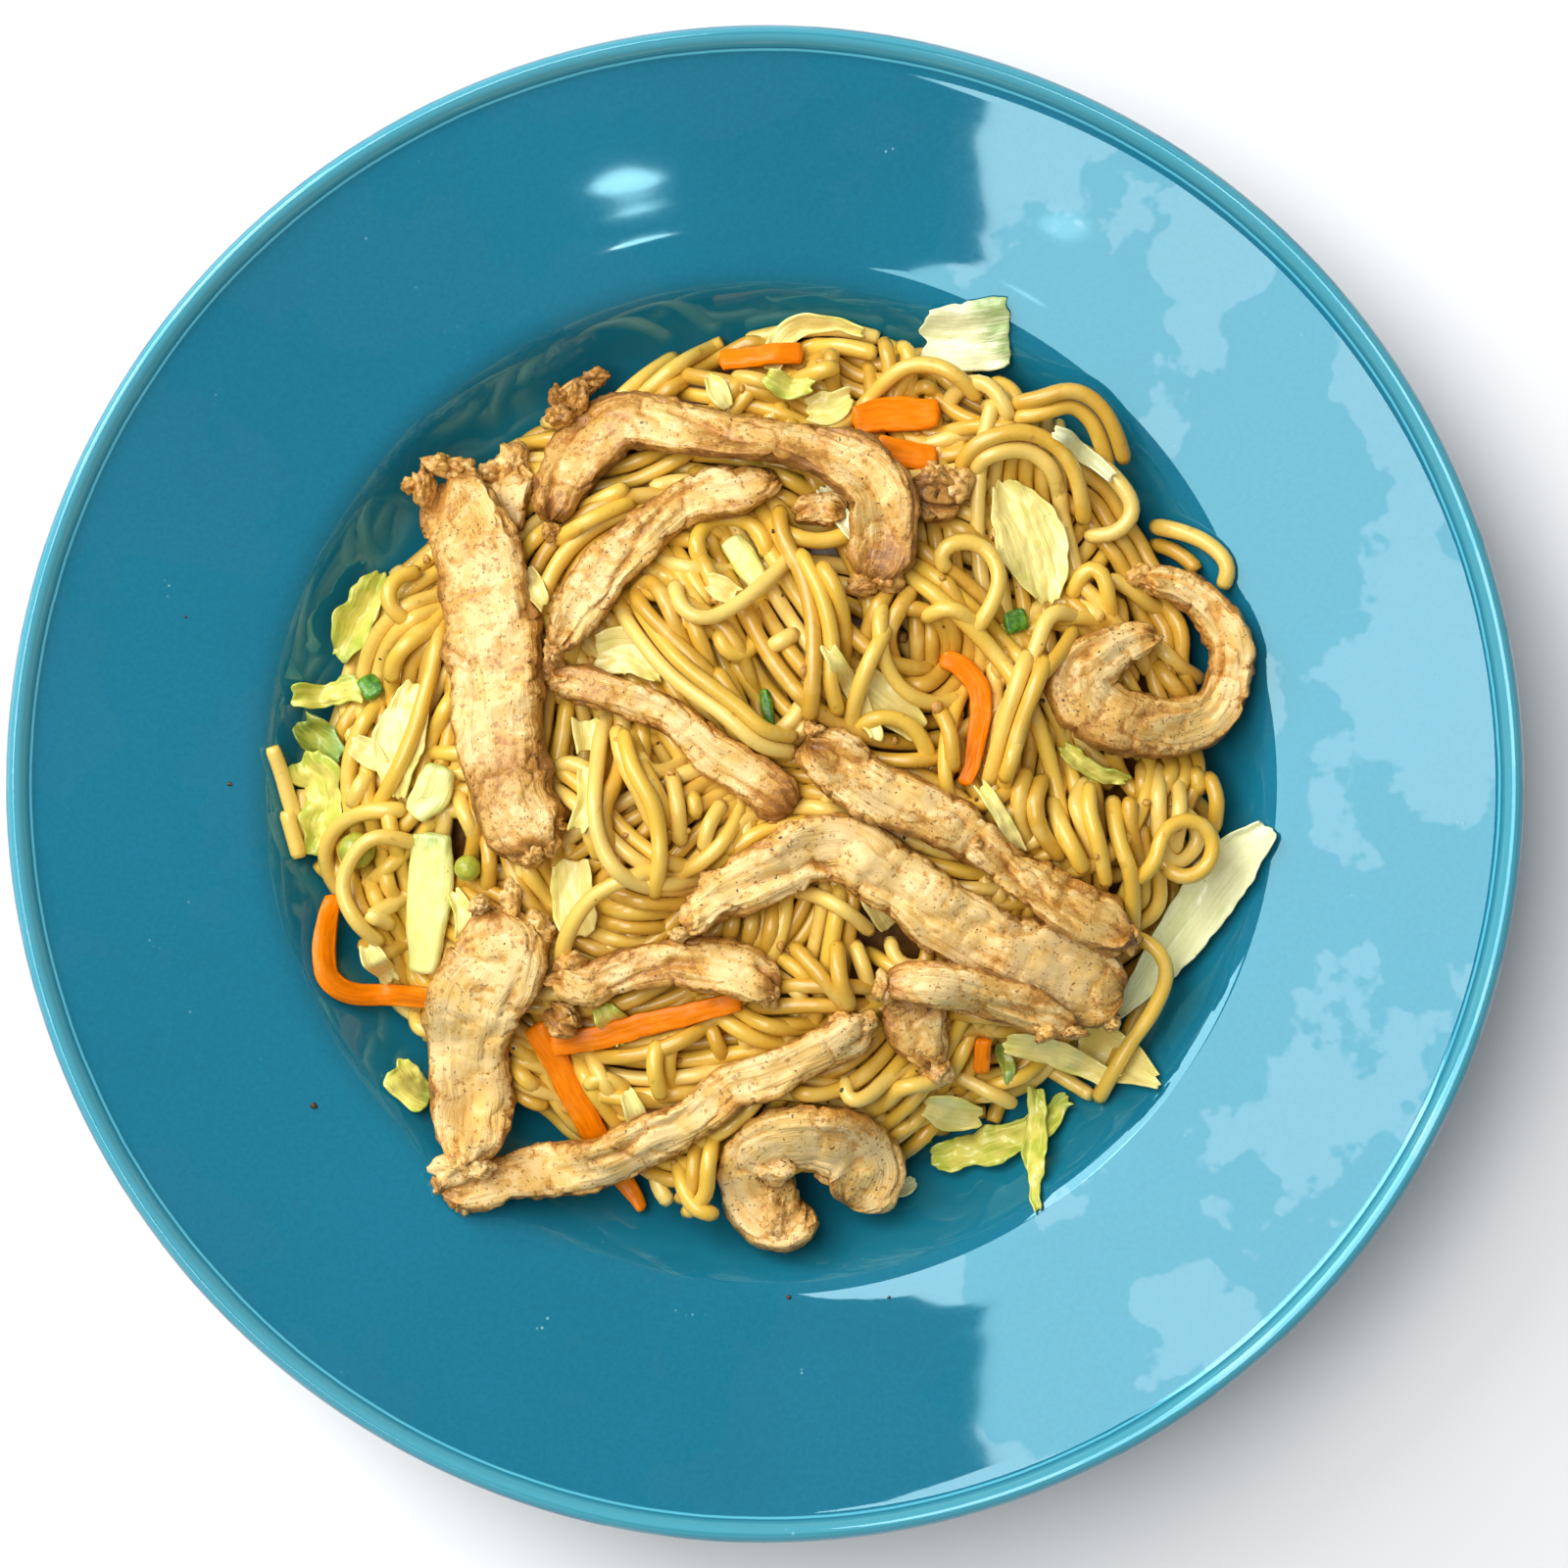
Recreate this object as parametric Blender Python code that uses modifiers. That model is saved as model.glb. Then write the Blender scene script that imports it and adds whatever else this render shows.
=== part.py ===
"""Stir-fried noodles with chicken strips and vegetables, heaped in the well of a pasta plate.

Metres, +Z up. The origin is the centre of the plate's foot ring, on the table that it stands on.
+X is the right of the plate seen from above and +Y its far side. The sizes below are in
millimetres, and a mesh is scaled to metres as it is made. Each strip, shred and leaf follows a
route of (x, y, width) stations seen from above, and is draped over what lies beneath it.
"""

import math

import bmesh
import bpy
import numpy as np
from mathutils.bvhtree import BVHTree

MM = 0.001
CONTACT_GAP = 0.3
LIFT_STEP = 0.2
SEED = 11

# Plate: the rim's outer edge, the well's edge and the foot are the driving sizes.
RIM_RADIUS = 135.0
WELL_EDGE_RADIUS = 91.0
WELL_EDGE_HEIGHT = 25.5
FOOT_RADIUS = 57.0
FOOT_WIDTH = 3.5
FLOOR_HEIGHT = 7.0
FLOOR_UNDERSIDE = 2.6
LIP_TOP = 38.0
WALL = 4.4
PLATE_STEPS = 48
PLATE_TOP = (
    (0.0, FLOOR_HEIGHT),
    (FOOT_RADIUS, FLOOR_HEIGHT + 0.3),
    (72.0, FLOOR_HEIGHT + 2.2),
    (80.5, FLOOR_HEIGHT + 7.0),
    (86.5, FLOOR_HEIGHT + 13.8),
    (WELL_EDGE_RADIUS, WELL_EDGE_HEIGHT),
    (WELL_EDGE_RADIUS + 5.5, WELL_EDGE_HEIGHT + 2.4),
    (112.0, WELL_EDGE_HEIGHT + 5.6),
    (RIM_RADIUS - 8.5, LIP_TOP - 3.6),
    (RIM_RADIUS - 4.6, LIP_TOP - 0.9),
    (RIM_RADIUS - 2.4, LIP_TOP),
)
PLATE_UNDER = (
    (RIM_RADIUS - 0.6, LIP_TOP - 0.9),
    (RIM_RADIUS, LIP_TOP - 2.8),
    (RIM_RADIUS - 1.4, LIP_TOP - 5.0),
    (RIM_RADIUS - 8.0, LIP_TOP - 3.6 - WALL),
    (WELL_EDGE_RADIUS + 7.5, WELL_EDGE_HEIGHT + 2.4 - WALL),
    (WELL_EDGE_RADIUS + 2.0, WELL_EDGE_HEIGHT - WALL - 1.5),
    (83.5, FLOOR_HEIGHT + 3.0),
    (74.0, FLOOR_HEIGHT - 2.2),
    (FOOT_RADIUS + 2.0, FLOOR_UNDERSIDE + 0.5),
    (FOOT_RADIUS, 0.0),
    (FOOT_RADIUS - FOOT_WIDTH, 0.0),
    (FOOT_RADIUS - FOOT_WIDTH - 1.5, FLOOR_UNDERSIDE),
    (0.0, FLOOR_UNDERSIDE),
)

# Heap: its outline radius every 30 degrees from +X, and the crown's height over the table.
HEAP_CENTRE = (-2.0, 1.0)
HEAP_OUTLINE = (81.0, 83.5, 84.0, 79.0, 74.0, 75.0, 80.0, 76.0, 74.0, 74.0, 73.0, 79.0)
HEAP_CROWN = 36.0
HEAP_SHAPE = 2.4
HEAP_UNEVENNESS = 1.1
HEAP_SIDES = 34
HEAP_RINGS = 14
UNDERSIDE_GAP = 0.45

# Noodles fused to the heap: round, drawn one after another where the most room is left.
NOODLE_DIAMETER = 3.0
NOODLE_COUNT = 20
NOODLE_STEP = 3.0
NOODLE_POINTS = 21
NOODLE_SHORTEST = 7
NOODLE_TRIES = 120
NOODLE_TURNS = (0.0, 0.3, -0.3, 0.6, -0.6)
CROWDING = 1.15
NOODLE_SPACING = 3
TOPPING_CLEARANCE = 2
NOODLE_RISE = 1.0
NOODLE_OVERHANG = 3.0

# The relief's grid reaches this far from the plate's axis, and a route is read at so many samples.
GRID_HALF = 104
ROUTE_SAMPLES = 200

# A strip has uneven lumps along it. One of few stations is a fragment and needs fewer rings.
CHICKEN_SIDES = 8
CHICKEN_RINGS = 14
FRAGMENT_STATIONS = 4
FRAGMENT_RINGS = 8
LUMP_HEIGHT = 0.10
LUMP_LENGTH = 3.1

# Chicken: the thickness, then the stations. The lowest comes first.
CHICKEN = {
    "chicken_bit_left": (5.5, ((-46, 58.5, 4.5), (-46, 55, 8.5), (-45.5, 49.5, 5), (-45, 45.5, 3.5))),
    "chicken_bit_centre": (6.0, ((5.5, 48, 4), (9.5, 49, 6.5), (14.5, 48.5, 6.5))),
    "chicken_bit_right": (7.0, ((26, 53, 6), (29.5, 51.5, 10.5), (34.5, 50.5, 8))),
    "chicken_bit_lower": (4.5, ((-38, -40, 3.5), (-36, -42, 6.5), (-33.5, -43.5, 3.5))),
    "chicken_thin": (
        5.5,
        (
            (-38, 19, 3.5),
            (-33, 17.5, 7),
            (-24.5, 15, 6.5),
            (-16, 11.5, 6.5),
            (-8, 5, 8),
            (-1, 0, 8.5),
            (5, -4.5, 10.5),
        ),
    ),
    "chicken_small_arch": (
        6.5,
        (
            (-36.5, -33.5, 5),
            (-31.5, -35.5, 8),
            (-24.5, -33, 8.5),
            (-16, -31.5, 8.5),
            (-7, -32.5, 9.5),
            (-1, -35, 8.5),
            (2, -37, 5),
        ),
    ),
    "chicken_fork_leg": (6.5, ((26, -36.5, 9.5), (27, -43.5, 11), (30.5, -50.5, 5.5))),
    "chicken_arch_large": (
        8.0,
        (
            (-14, -25.5, 5),
            (-8, -20, 8),
            (-1, -16.5, 10.5),
            (7, -12, 11),
            (15.5, -12, 12),
            (23.5, -17.5, 12.5),
            (31.5, -23.5, 13),
            (40, -29, 15),
            (49.5, -33, 17.5),
            (58.5, -36, 17.5),
            (64.5, -37, 12),
        ),
    ),
    "chicken_fork": (
        5.0,
        (
            (21.5, -35, 4.5),
            (27, -35, 7),
            (34, -36, 8.5),
            (42, -38.5, 8.5),
            (49, -41, 8),
            (55, -43, 4.5),
        ),
    ),
    "chicken_ridge": (
        7.5,
        (
            (7, 7.5, 8),
            (13, 3.5, 11.5),
            (20, -1, 11),
            (28, -5, 10.5),
            (35.5, -8.5, 9.5),
            (41, -12.5, 7),
            (47, -17.5, 8.5),
            (55, -22, 10.5),
            (62, -25.5, 8.5),
            (66, -26.5, 2.5),
        ),
    ),
    "chicken_knot": (
        9.0,
        (
            (18, -77, 7),
            (21, -70, 10.5),
            (16.5, -64, 11.5),
            (8, -62.5, 9.5),
            (-1, -64, 9),
            (-4.5, -70.5, 8),
            (-2.5, -78, 9),
            (3.5, -79.5, 8.5),
            (7, -75.5, 6),
        ),
    ),
    "chicken_long_bottom": (
        7.0,
        (
            (-57.5, -72.5, 5),
            (-52.5, -72.5, 7.5),
            (-45.5, -70.5, 8),
            (-36.5, -70, 10),
            (-28, -68, 10),
            (-19.5, -63.5, 9.5),
            (-12.5, -60, 8),
            (-6, -54, 8.5),
            (1.5, -51.5, 8.5),
            (10.5, -47, 8.5),
            (15.5, -44, 8),
            (18, -42, 4),
        ),
    ),
    "chicken_lower_left": (
        8.5,
        (
            (-48.5, -22.5, 12),
            (-47, -31.5, 18),
            (-51.5, -39.5, 17),
            (-53.5, -48, 14.5),
            (-53.5, -56.5, 14.5),
            (-53.5, -62, 13),
            (-54, -68, 10.5),
        ),
    ),
    "chicken_left_long": (
        9.5,
        (
            (-57.5, 55, 13),
            (-53, 45.5, 16),
            (-50, 35, 17),
            (-48.5, 26, 17.5),
            (-48, 17.5, 17.5),
            (-47, 8.5, 17),
            (-46, 0, 16),
            (-42, -8, 14),
            (-39.5, -12, 8.5),
        ),
    ),
    "chicken_slant": (
        6.5,
        (
            (-36.5, 24, 4.5),
            (-34, 29.5, 8),
            (-30.5, 35, 9.5),
            (-25, 41, 9.5),
            (-19, 47, 8),
            (-13, 51, 8),
            (-6, 52, 8.5),
            (0, 53.5, 6),
            (2.5, 54.5, 3),
        ),
    ),
    "chicken_arch_top": (
        8.5,
        (
            (-38.5, 47, 7.5),
            (-36.5, 53, 9.5),
            (-33, 59.5, 11.5),
            (-27, 64.5, 11.5),
            (-21, 64.5, 10),
            (-10, 62.5, 9.5),
            (-1.5, 61.5, 8),
            (6.5, 60, 8.5),
            (14, 57.5, 11),
            (19.5, 52.5, 12),
            (21, 46, 12.5),
            (20.5, 40.5, 12),
            (19, 35.5, 8.5),
        ),
    ),
    "chicken_curl": (
        8.5,
        (
            (68, 36.5, 5),
            (74, 35.5, 6),
            (80, 31.5, 7),
            (84, 24.5, 6.5),
            (83, 15.5, 7),
            (77.5, 9.5, 8.5),
            (68, 9.5, 10.5),
            (60, 11.5, 11.5),
            (55, 17.5, 9),
            (59.5, 23, 8),
            (67, 26, 6),
            (70, 26, 2.5),
        ),
    ),
    "chicken_knob_dark": (4.5, ((-31.5, 73, 3.5), (-34.5, 71.5, 4.5), (-38, 69.5, 3.5))),
}

# Carrot shreds: flat strips, cut straight at both ends.
CARROT_THICKNESS = 2.2
CARROT_WAVE = 0.1
CARROT = {
    "carrot_top": ((-8.5, 76.5, 4), (-1, 77.5, 4), (7, 78, 4)),
    "carrot_arch_a": ((15.5, 65, 5), (23.5, 66.5, 6.5), (31.5, 66.5, 5)),
    "carrot_arch_b": ((19.5, 60.5, 4.5), (25, 59, 5), (31, 58.5, 4)),
    "carrot_right": ((31, 22.5, 3), (35.5, 20.5, 4), (38.5, 15, 4), (37.5, 7, 3.5), (35.5, -0.5, 2.5)),
    "carrot_left": (
        (-78.5, -20, 3),
        (-80, -28, 4),
        (-79.5, -34, 4),
        (-75.5, -38, 4),
        (-66.5, -38.5, 4),
        (-59.5, -39, 4),
    ),
    "carrot_lower_a": (
        (-41.5, -43, 4.5),
        (-36.5, -52.5, 5),
        (-31, -64, 5),
        (-26.5, -72, 4),
        (-22, -78, 2),
    ),
    "carrot_lower_b": ((-38.5, -47, 4), (-26.5, -44.5, 4.5), (-14, -41, 4), (-4, -38.5, 3.5)),
    "carrot_small": ((39.5, -45.5, 3), (39, -52.5, 3)),
}

# Cabbage: pale stalks, leaves and shreds. The wave is how far a leaf's edges rise and fall.
LEAF_THICKNESS = 0.9
LEAF_WAVE = 1.1
WAVE_LENGTH = 2.4
STALK_THICKNESS = 2.0
STALK_WAVE = 0.3
LEAF = {
    "cabbage_leaf_top_right": ((28.5, 81, 8.5), (35.5, 80.5, 12.5), (44, 81.5, 12)),
    "cabbage_curl_top": ((1, 74.5, 3), (2.5, 79.5, 5), (5.5, 83, 4), (12, 83.5, 2.5), (17.5, 82, 1.5)),
    "cabbage_chip_top": ((7, 67, 4), (11.5, 67.5, 6.5), (15.5, 69.5, 3.5)),
    "cabbage_pale_right": ((42.5, 54, 4), (46, 47, 12), (49, 39.5, 11.5), (50.5, 32.5, 4)),
    "cabbage_long_right": (
        (91, -7.5, 4),
        (84.5, -14, 9),
        (77.5, -24.5, 9.5),
        (70.5, -34, 7),
        (64, -42, 2),
    ),
    "cabbage_lower_right": ((57, -45.5, 7), (62.5, -49, 10), (71, -53.5, 2.5)),
    "cabbage_shred_lower_right": ((43.5, -46.5, 4), (53, -49, 5), (63, -54, 3.5)),
    "cabbage_green_a": ((30.5, -69, 4.5), (40, -66.5, 6.5), (49, -63, 5), (55.5, -57.5, 3)),
    "cabbage_green_b": ((49.5, -55, 3), (49, -66.5, 4), (49, -77, 1)),
    "cabbage_chip_bottom": ((29, -58, 4), (34, -60, 7), (39.5, -61, 4)),
    "cabbage_left_large": ((-62, 18, 5), (-65, 9.5, 9.5), (-66, 3.5, 8), (-65.5, -2.5, 2)),
    "cabbage_frill_upper": ((-70, 38.5, 4), (-73, 33, 7), (-76, 27, 6.5), (-77, 22.5, 4)),
    "cabbage_strip_left": ((-85.5, 16, 4), (-78.5, 16, 5), (-73, 17.5, 5)),
    "cabbage_green_left": ((-84, 11.5, 4), (-80.5, 8, 6.5), (-76.5, 5, 3)),
    "cabbage_frill_lower": ((-83.5, 4.5, 7), (-80.5, 0, 8), (-80.5, -7, 6.5), (-82.5, -13.5, 5)),
    "cabbage_mid": ((-30, 23, 7), (-23.5, 23.5, 8.5), (-18, 19, 3)),
    "cabbage_chip_mid": ((-32, 11.5, 5), (-31.5, 5.5, 4)),
    "cabbage_mid_lower": ((-34.5, -13.5, 6.5), (-34, -21, 8), (-33, -27, 6)),
    "cabbage_low_left": ((-67.5, -51, 4.5), (-64.5, -55, 6.5), (-61, -57.5, 5)),
    "cabbage_centre_right": ((15.5, 19.5, 5), (21, 15, 8), (27.5, 9.5, 4.5)),
    "cabbage_under_curl": ((53, 6.5, 2.5), (58.5, 2.5, 3.5), (65, 0.5, 1.5)),
}
STALK = {
    "cabbage_stalk_left": ((-59.5, -8.5, 7), (-60, -17.5, 8.5), (-61, -26, 7.5), (-62, -34.5, 5)),
    "cabbage_chunk_left": ((-57.5, 3.5, 5), (-59.5, -1.5, 7), (-63, -6, 4)),
    "cabbage_stalk_centre": ((-6.5, 44, 4), (-3.5, 39.5, 5), (-0.5, 34.5, 3.5)),
}
SCALLION_THICKNESS = 1.6
SCALLION_WAVE = 0.2
SCALLION = {
    "scallion_left": ((-72.5, 19.5, 3.5), (-70, 15.5, 4)),
    "scallion_right": ((42.5, 28.5, 4), (47, 29.5, 4)),
    "scallion_centre": ((0, 17, 1.5), (0.5, 14, 2.2), (1, 10, 1.5)),
}
PEA = {"pea_left": (-73.5, -12.0, 7.0), "pea_stalk": (-53.0, -15.0, 5.0)}


def profile_height(radius):
    """Height of the plate's upper face at a distance from its axis."""
    return np.interp(radius, [p[0] for p in PLATE_TOP], [p[1] for p in PLATE_TOP])


def heap_outline(angle):
    """Radius of the heap's foot at an angle, eased between the stations of its outline."""
    place = (np.asarray(angle) / (2 * math.pi) * len(HEAP_OUTLINE)) % len(HEAP_OUTLINE)
    before = np.floor(place).astype(int) % len(HEAP_OUTLINE)
    share = place - np.floor(place)
    ease = share * share * (3 - 2 * share)
    radii = np.array(HEAP_OUTLINE)
    return radii[before] * (1 - ease) + radii[(before + 1) % len(HEAP_OUTLINE)] * ease


def heap_height(x, y):
    """Height of the bare heap over the table, and below the plate's face outside the heap."""
    east = np.asarray(x, float) - HEAP_CENTRE[0]
    north = np.asarray(y, float) - HEAP_CENTRE[1]
    outline = heap_outline(np.arctan2(north, east))
    share = np.hypot(east, north) / outline
    foot = profile_height(outline) + UNDERSIDE_GAP
    dome = np.sqrt(np.clip(1 - share**HEAP_SHAPE, 0, 1))
    bumps = np.sin(east / 9.0 + 1.3) * np.sin(north / 8.0 + 0.4) + 0.6 * np.sin((east + north) / 13.0)
    height = foot + (HEAP_CROWN - foot) * dome + HEAP_UNEVENNESS * bumps * dome
    return np.where(share < 1, height, 0.0)


def spline_route(stations, count):
    """Evenly spaced samples of a smooth route: its points, widths, and directions."""
    known = np.array(stations, float)
    ends = np.vstack([2 * known[0] - known[1], known, 2 * known[-1] - known[-2]])
    dense = []
    for i in range(len(known) - 1):
        a, b, c, d = ends[i : i + 4]
        t = np.linspace(0, 1, 20, endpoint=False)[:, None]
        dense.append(
            0.5 * (2 * b + (c - a) * t + (2 * a - 5 * b + 4 * c - d) * t**2 + (3 * b - a - 3 * c + d) * t**3)
        )
    dense = np.vstack(dense + [known[-1:]])
    length = np.concatenate([[0], np.cumsum(np.hypot(*np.diff(dense[:, :2], axis=0).T))])
    wanted = np.linspace(0, length[-1], count)
    route = np.stack([np.interp(wanted, length, dense[:, k]) for k in range(3)], axis=1)
    ahead = np.gradient(route[:, :2], axis=0)
    ahead /= np.linalg.norm(ahead, axis=1)[:, None]
    return route[:, :2], route[:, 2], ahead, length[-1]


class Relief:
    """The height of all that lies on the plate so far, on a square grid of 1 mm cells."""

    def __init__(self):
        side = np.arange(-GRID_HALF, GRID_HALF + 1, dtype=float)
        x, y = np.meshgrid(side, side)
        self.height = np.maximum(heap_height(x, y), profile_height(np.hypot(x, y)))
        self.taken = np.zeros(self.height.shape, bool)

    def envelope(self, reach):
        """The height raised to the highest within reach, then smoothed over the same reach."""
        high = spread(self.height, reach, np.maximum)
        total = np.zeros_like(high)
        shifts = disc(reach)
        for across, along in shifts:
            total += np.roll(high, (along, across), (0, 1))
        return total / len(shifts)

    def cover(self, points, heights):
        """Raises the cells under these points to their heights and marks them as taken."""
        column, row = (np.rint(points).astype(int) + GRID_HALF).T
        np.maximum.at(self.height, (row, column), heights)
        self.taken[row, column] = True


def disc(reach):
    """Whole-cell steps within a reach."""
    steps = range(-reach, reach + 1)
    return [(i, j) for i in steps for j in steps if i * i + j * j <= reach * reach]


def spread(grid, reach, join):
    """A grid joined with its copies moved by every step within reach."""
    result = grid.copy()
    for across, along in disc(reach):
        result = join(result, np.roll(grid, (along, across), (0, 1)))
    return result


def read_grid(grid, x, y):
    """A grid's value between its cells."""
    column = np.clip(np.asarray(x) + GRID_HALF, 0, 2 * GRID_HALF - 1.001)
    row = np.clip(np.asarray(y) + GRID_HALF, 0, 2 * GRID_HALF - 1.001)
    i, j = row.astype(int), column.astype(int)
    u, v = row - i, column - j
    low = grid[i, j] * (1 - v) + grid[i, j + 1] * v
    high = grid[i + 1, j] * (1 - v) + grid[i + 1, j + 1] * v
    return low * (1 - u) + high * u


def clear_scene():
    """Removes what is in the scene, and nothing else of the file."""
    for thing in list(bpy.data.objects):
        bpy.data.objects.remove(thing)


def new_collection(name):
    """A collection in the scene."""
    group = bpy.data.collections.new(name)
    bpy.context.scene.collection.children.link(group)
    return group


def new_object(name, shape, group, material):
    """An object of the model for a bmesh in millimetres."""
    for vertex in shape.verts:
        vertex.co *= MM
    mesh = bpy.data.meshes.new(name)
    shape.to_mesh(mesh)
    shape.free()
    piece = bpy.data.objects.new(name, mesh)
    group.objects.link(piece)
    if material:
        mesh.materials.append(material)
    return piece


def principled(name, colour, roughness, coat=0.0):
    """A material of one colour."""
    material = bpy.data.materials.new(name)
    material.use_nodes = True
    shader = material.node_tree.nodes["Principled BSDF"]
    shader.inputs["Base Color"].default_value = (*colour, 1.0)
    shader.inputs["Roughness"].default_value = roughness
    shader.inputs["Metallic"].default_value = 0.0
    shader.inputs["Coat Weight"].default_value = coat
    return material


def make_plate(group, material):
    """The plate: a profile from the floor's centre over the lip to the foot, turned about Z."""
    shape = bmesh.new()
    points = [shape.verts.new((radius, 0, height)) for radius, height in PLATE_TOP + PLATE_UNDER]
    for first, second in zip(points, points[1:]):
        shape.edges.new((first, second))
    plate = new_object("plate", shape, group, None)
    screw = plate.modifiers.new("turn", "SCREW")
    screw.axis = "Z"
    screw.steps = PLATE_STEPS
    screw.render_steps = PLATE_STEPS
    screw.use_merge_vertices = True
    screw.merge_threshold = 0.0001
    screw.use_smooth_shade = True
    plate.data.materials.append(material)
    return plate


def make_heap(group, material):
    """The bare heap: a sphere's upper half laid over the dome, and its lower half on the plate."""
    shape = bmesh.new()
    bmesh.ops.create_uvsphere(shape, u_segments=HEAP_SIDES, v_segments=HEAP_RINGS, radius=1)
    for vertex in shape.verts:
        angle = math.atan2(vertex.co.y, vertex.co.x)
        share = min(math.hypot(vertex.co.x, vertex.co.y), 1.0)
        upper = vertex.co.z > 1e-6
        reach = float(heap_outline(angle)) * share
        x = HEAP_CENTRE[0] + reach * math.cos(angle)
        y = HEAP_CENTRE[1] + reach * math.sin(angle)
        under = float(profile_height(math.hypot(x, y))) + UNDERSIDE_GAP
        vertex.co = (x, y, float(heap_height(x, y)) if upper else under)
    heap = new_object("noodles", shape, group, material)
    heap.data.shade_smooth()
    return heap


def tree_of(piece):
    """The evaluated surface of a piece, for touching tests."""
    return BVHTree.FromObject(piece, bpy.context.evaluated_depsgraph_get())


def settle(piece, others):
    """Lifts a piece until it is clear of all that lies beneath it, and returns the lift."""
    lift = 0.0
    while any(tree_of(piece).overlap(tree) for tree in others):
        shift_up(piece, LIFT_STEP)
        lift += LIFT_STEP
    shift_up(piece, CONTACT_GAP)
    return lift + CONTACT_GAP


def shift_up(piece, rise):
    """Moves a piece's mesh up."""
    for vertex in piece.data.vertices:
        vertex.co.z += rise * MM
    piece.data.update()
    bpy.context.view_layer.update()


def footprint(centres, widths, ahead):
    """Points half a cell apart over the ground that a route covers."""
    left = np.stack([-ahead[:, 1], ahead[:, 0]], axis=1)
    across = np.linspace(-0.5, 0.5, 41)
    spots = centres[:, None, :] + left[:, None, :] * (widths[:, None] * across)[:, :, None]
    return spots.reshape(-1, 2), np.tile(across * 2, len(centres))


def lay(piece, stations, thickness, relief, others, round_top):
    """Settles a draped piece and adds it to the relief."""
    lift = settle(piece, others)
    centres, widths, ahead, length = spline_route(stations, ROUTE_SAMPLES)
    spots, side = footprint(centres, widths, ahead)
    ground = read_grid(relief.envelope(2), *spots.T)
    crown = np.sqrt(np.clip(1 - side**2, 0, 1)) * 0.5 + 0.5 if round_top else 1.0
    relief.cover(spots, ground + lift + thickness * crown)
    others.append(tree_of(piece))


def chicken_strip(name, thickness, stations, relief, group, material, number):
    """A sphere drawn out along a route: a strip with rounded ends and uneven width."""
    fragment = len(stations) <= FRAGMENT_STATIONS
    rings = FRAGMENT_RINGS if fragment else CHICKEN_RINGS
    centres, widths, ahead, length = spline_route(stations, ROUTE_SAMPLES)
    ground = relief.envelope(2 if fragment else 3)
    shape = bmesh.new()
    bmesh.ops.create_uvsphere(shape, u_segments=CHICKEN_SIDES, v_segments=rings, radius=1)
    for vertex in shape.verts:
        share = math.acos(max(-1.0, min(1.0, vertex.co.z))) / math.pi
        turn = math.atan2(vertex.co.y, vertex.co.x)
        place = share * (len(centres) - 1)
        x, y = (np.interp(place, range(len(centres)), centres[:, k]) for k in (0, 1))
        dx, dy = (np.interp(place, range(len(centres)), ahead[:, k]) for k in (0, 1))
        width = np.interp(place, range(len(centres)), widths)
        end = min(share, 1 - share) * length / (0.45 * width)
        rounding = math.sqrt(1 - (1 - min(end, 1.0)) ** 2)
        swell = math.sin(number + share * length / LUMP_LENGTH) * (0.4 + 0.6 * math.sin(turn * 2 + number))
        lump = 1 + LUMP_HEIGHT * swell
        side = math.copysign(abs(math.cos(turn)) ** 0.8, math.cos(turn))
        rise = math.copysign(abs(math.sin(turn)) ** 0.9, math.sin(turn))
        x -= dy * side * rounding * width / 2 * lump
        y += dx * side * rounding * width / 2 * lump
        body = thickness * (0.5 + 0.5 * rise * rounding * (lump if rise > 0 else 1))
        vertex.co = (x, y, float(read_grid(ground, x, y)) + body)
    if shape.calc_volume(signed=True) < 0:
        bmesh.ops.reverse_faces(shape, faces=shape.faces)
    strip = new_object(name, shape, group, material)
    strip.data.shade_smooth()
    return strip


def flat_strip(name, thickness, stations, wave, relief, group, material, number):
    """A grid laid along a route with wavy edges, and given its thickness upwards."""
    centres, widths, ahead, length = spline_route(stations, ROUTE_SAMPLES)
    cells = int(max(3, min(8, round(length / 4.5))))
    ground = relief.envelope(2)
    shape = bmesh.new()
    bmesh.ops.create_grid(shape, x_segments=cells, y_segments=2, size=1)
    for vertex in shape.verts:
        share = (vertex.co.x + 1) / 2
        side = vertex.co.y
        place = share * (len(centres) - 1)
        x, y = (np.interp(place, range(len(centres)), centres[:, k]) for k in (0, 1))
        dx, dy = (np.interp(place, range(len(centres)), ahead[:, k]) for k in (0, 1))
        width = np.interp(place, range(len(centres)), widths)
        x -= dy * side * width / 2
        y += dx * side * width / 2
        swing = math.sin(number * 1.7 + share * length / WAVE_LENGTH + side * 1.9)
        rise = wave * (0.5 + 0.5 * swing) * abs(side)
        vertex.co = (x, y, float(read_grid(ground, x, y)) + rise)
    bmesh.ops.triangulate(shape, faces=shape.faces)
    bmesh.ops.recalc_face_normals(shape, faces=shape.faces)
    if sum(face.normal.z for face in shape.faces) < 0:
        bmesh.ops.reverse_faces(shape, faces=shape.faces)
    strip = new_object(name, shape, group, material)
    solid = strip.modifiers.new("thickness", "SOLIDIFY")
    solid.thickness = thickness * MM
    solid.offset = 1.0
    strip.data.shade_smooth()
    return strip


def make_pea(name, place, relief, group, material):
    """A pea: a sphere on what lies beneath it."""
    x, y, diameter = place
    shape = bmesh.new()
    bmesh.ops.create_uvsphere(shape, u_segments=10, v_segments=6, radius=diameter / 2)
    bottom = float(read_grid(relief.envelope(2), x, y))
    for vertex in shape.verts:
        vertex.co.x += x
        vertex.co.y += y
        vertex.co.z += bottom + diameter / 2
    pea = new_object(name, shape, group, material)
    pea.data.shade_smooth()
    return pea


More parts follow.
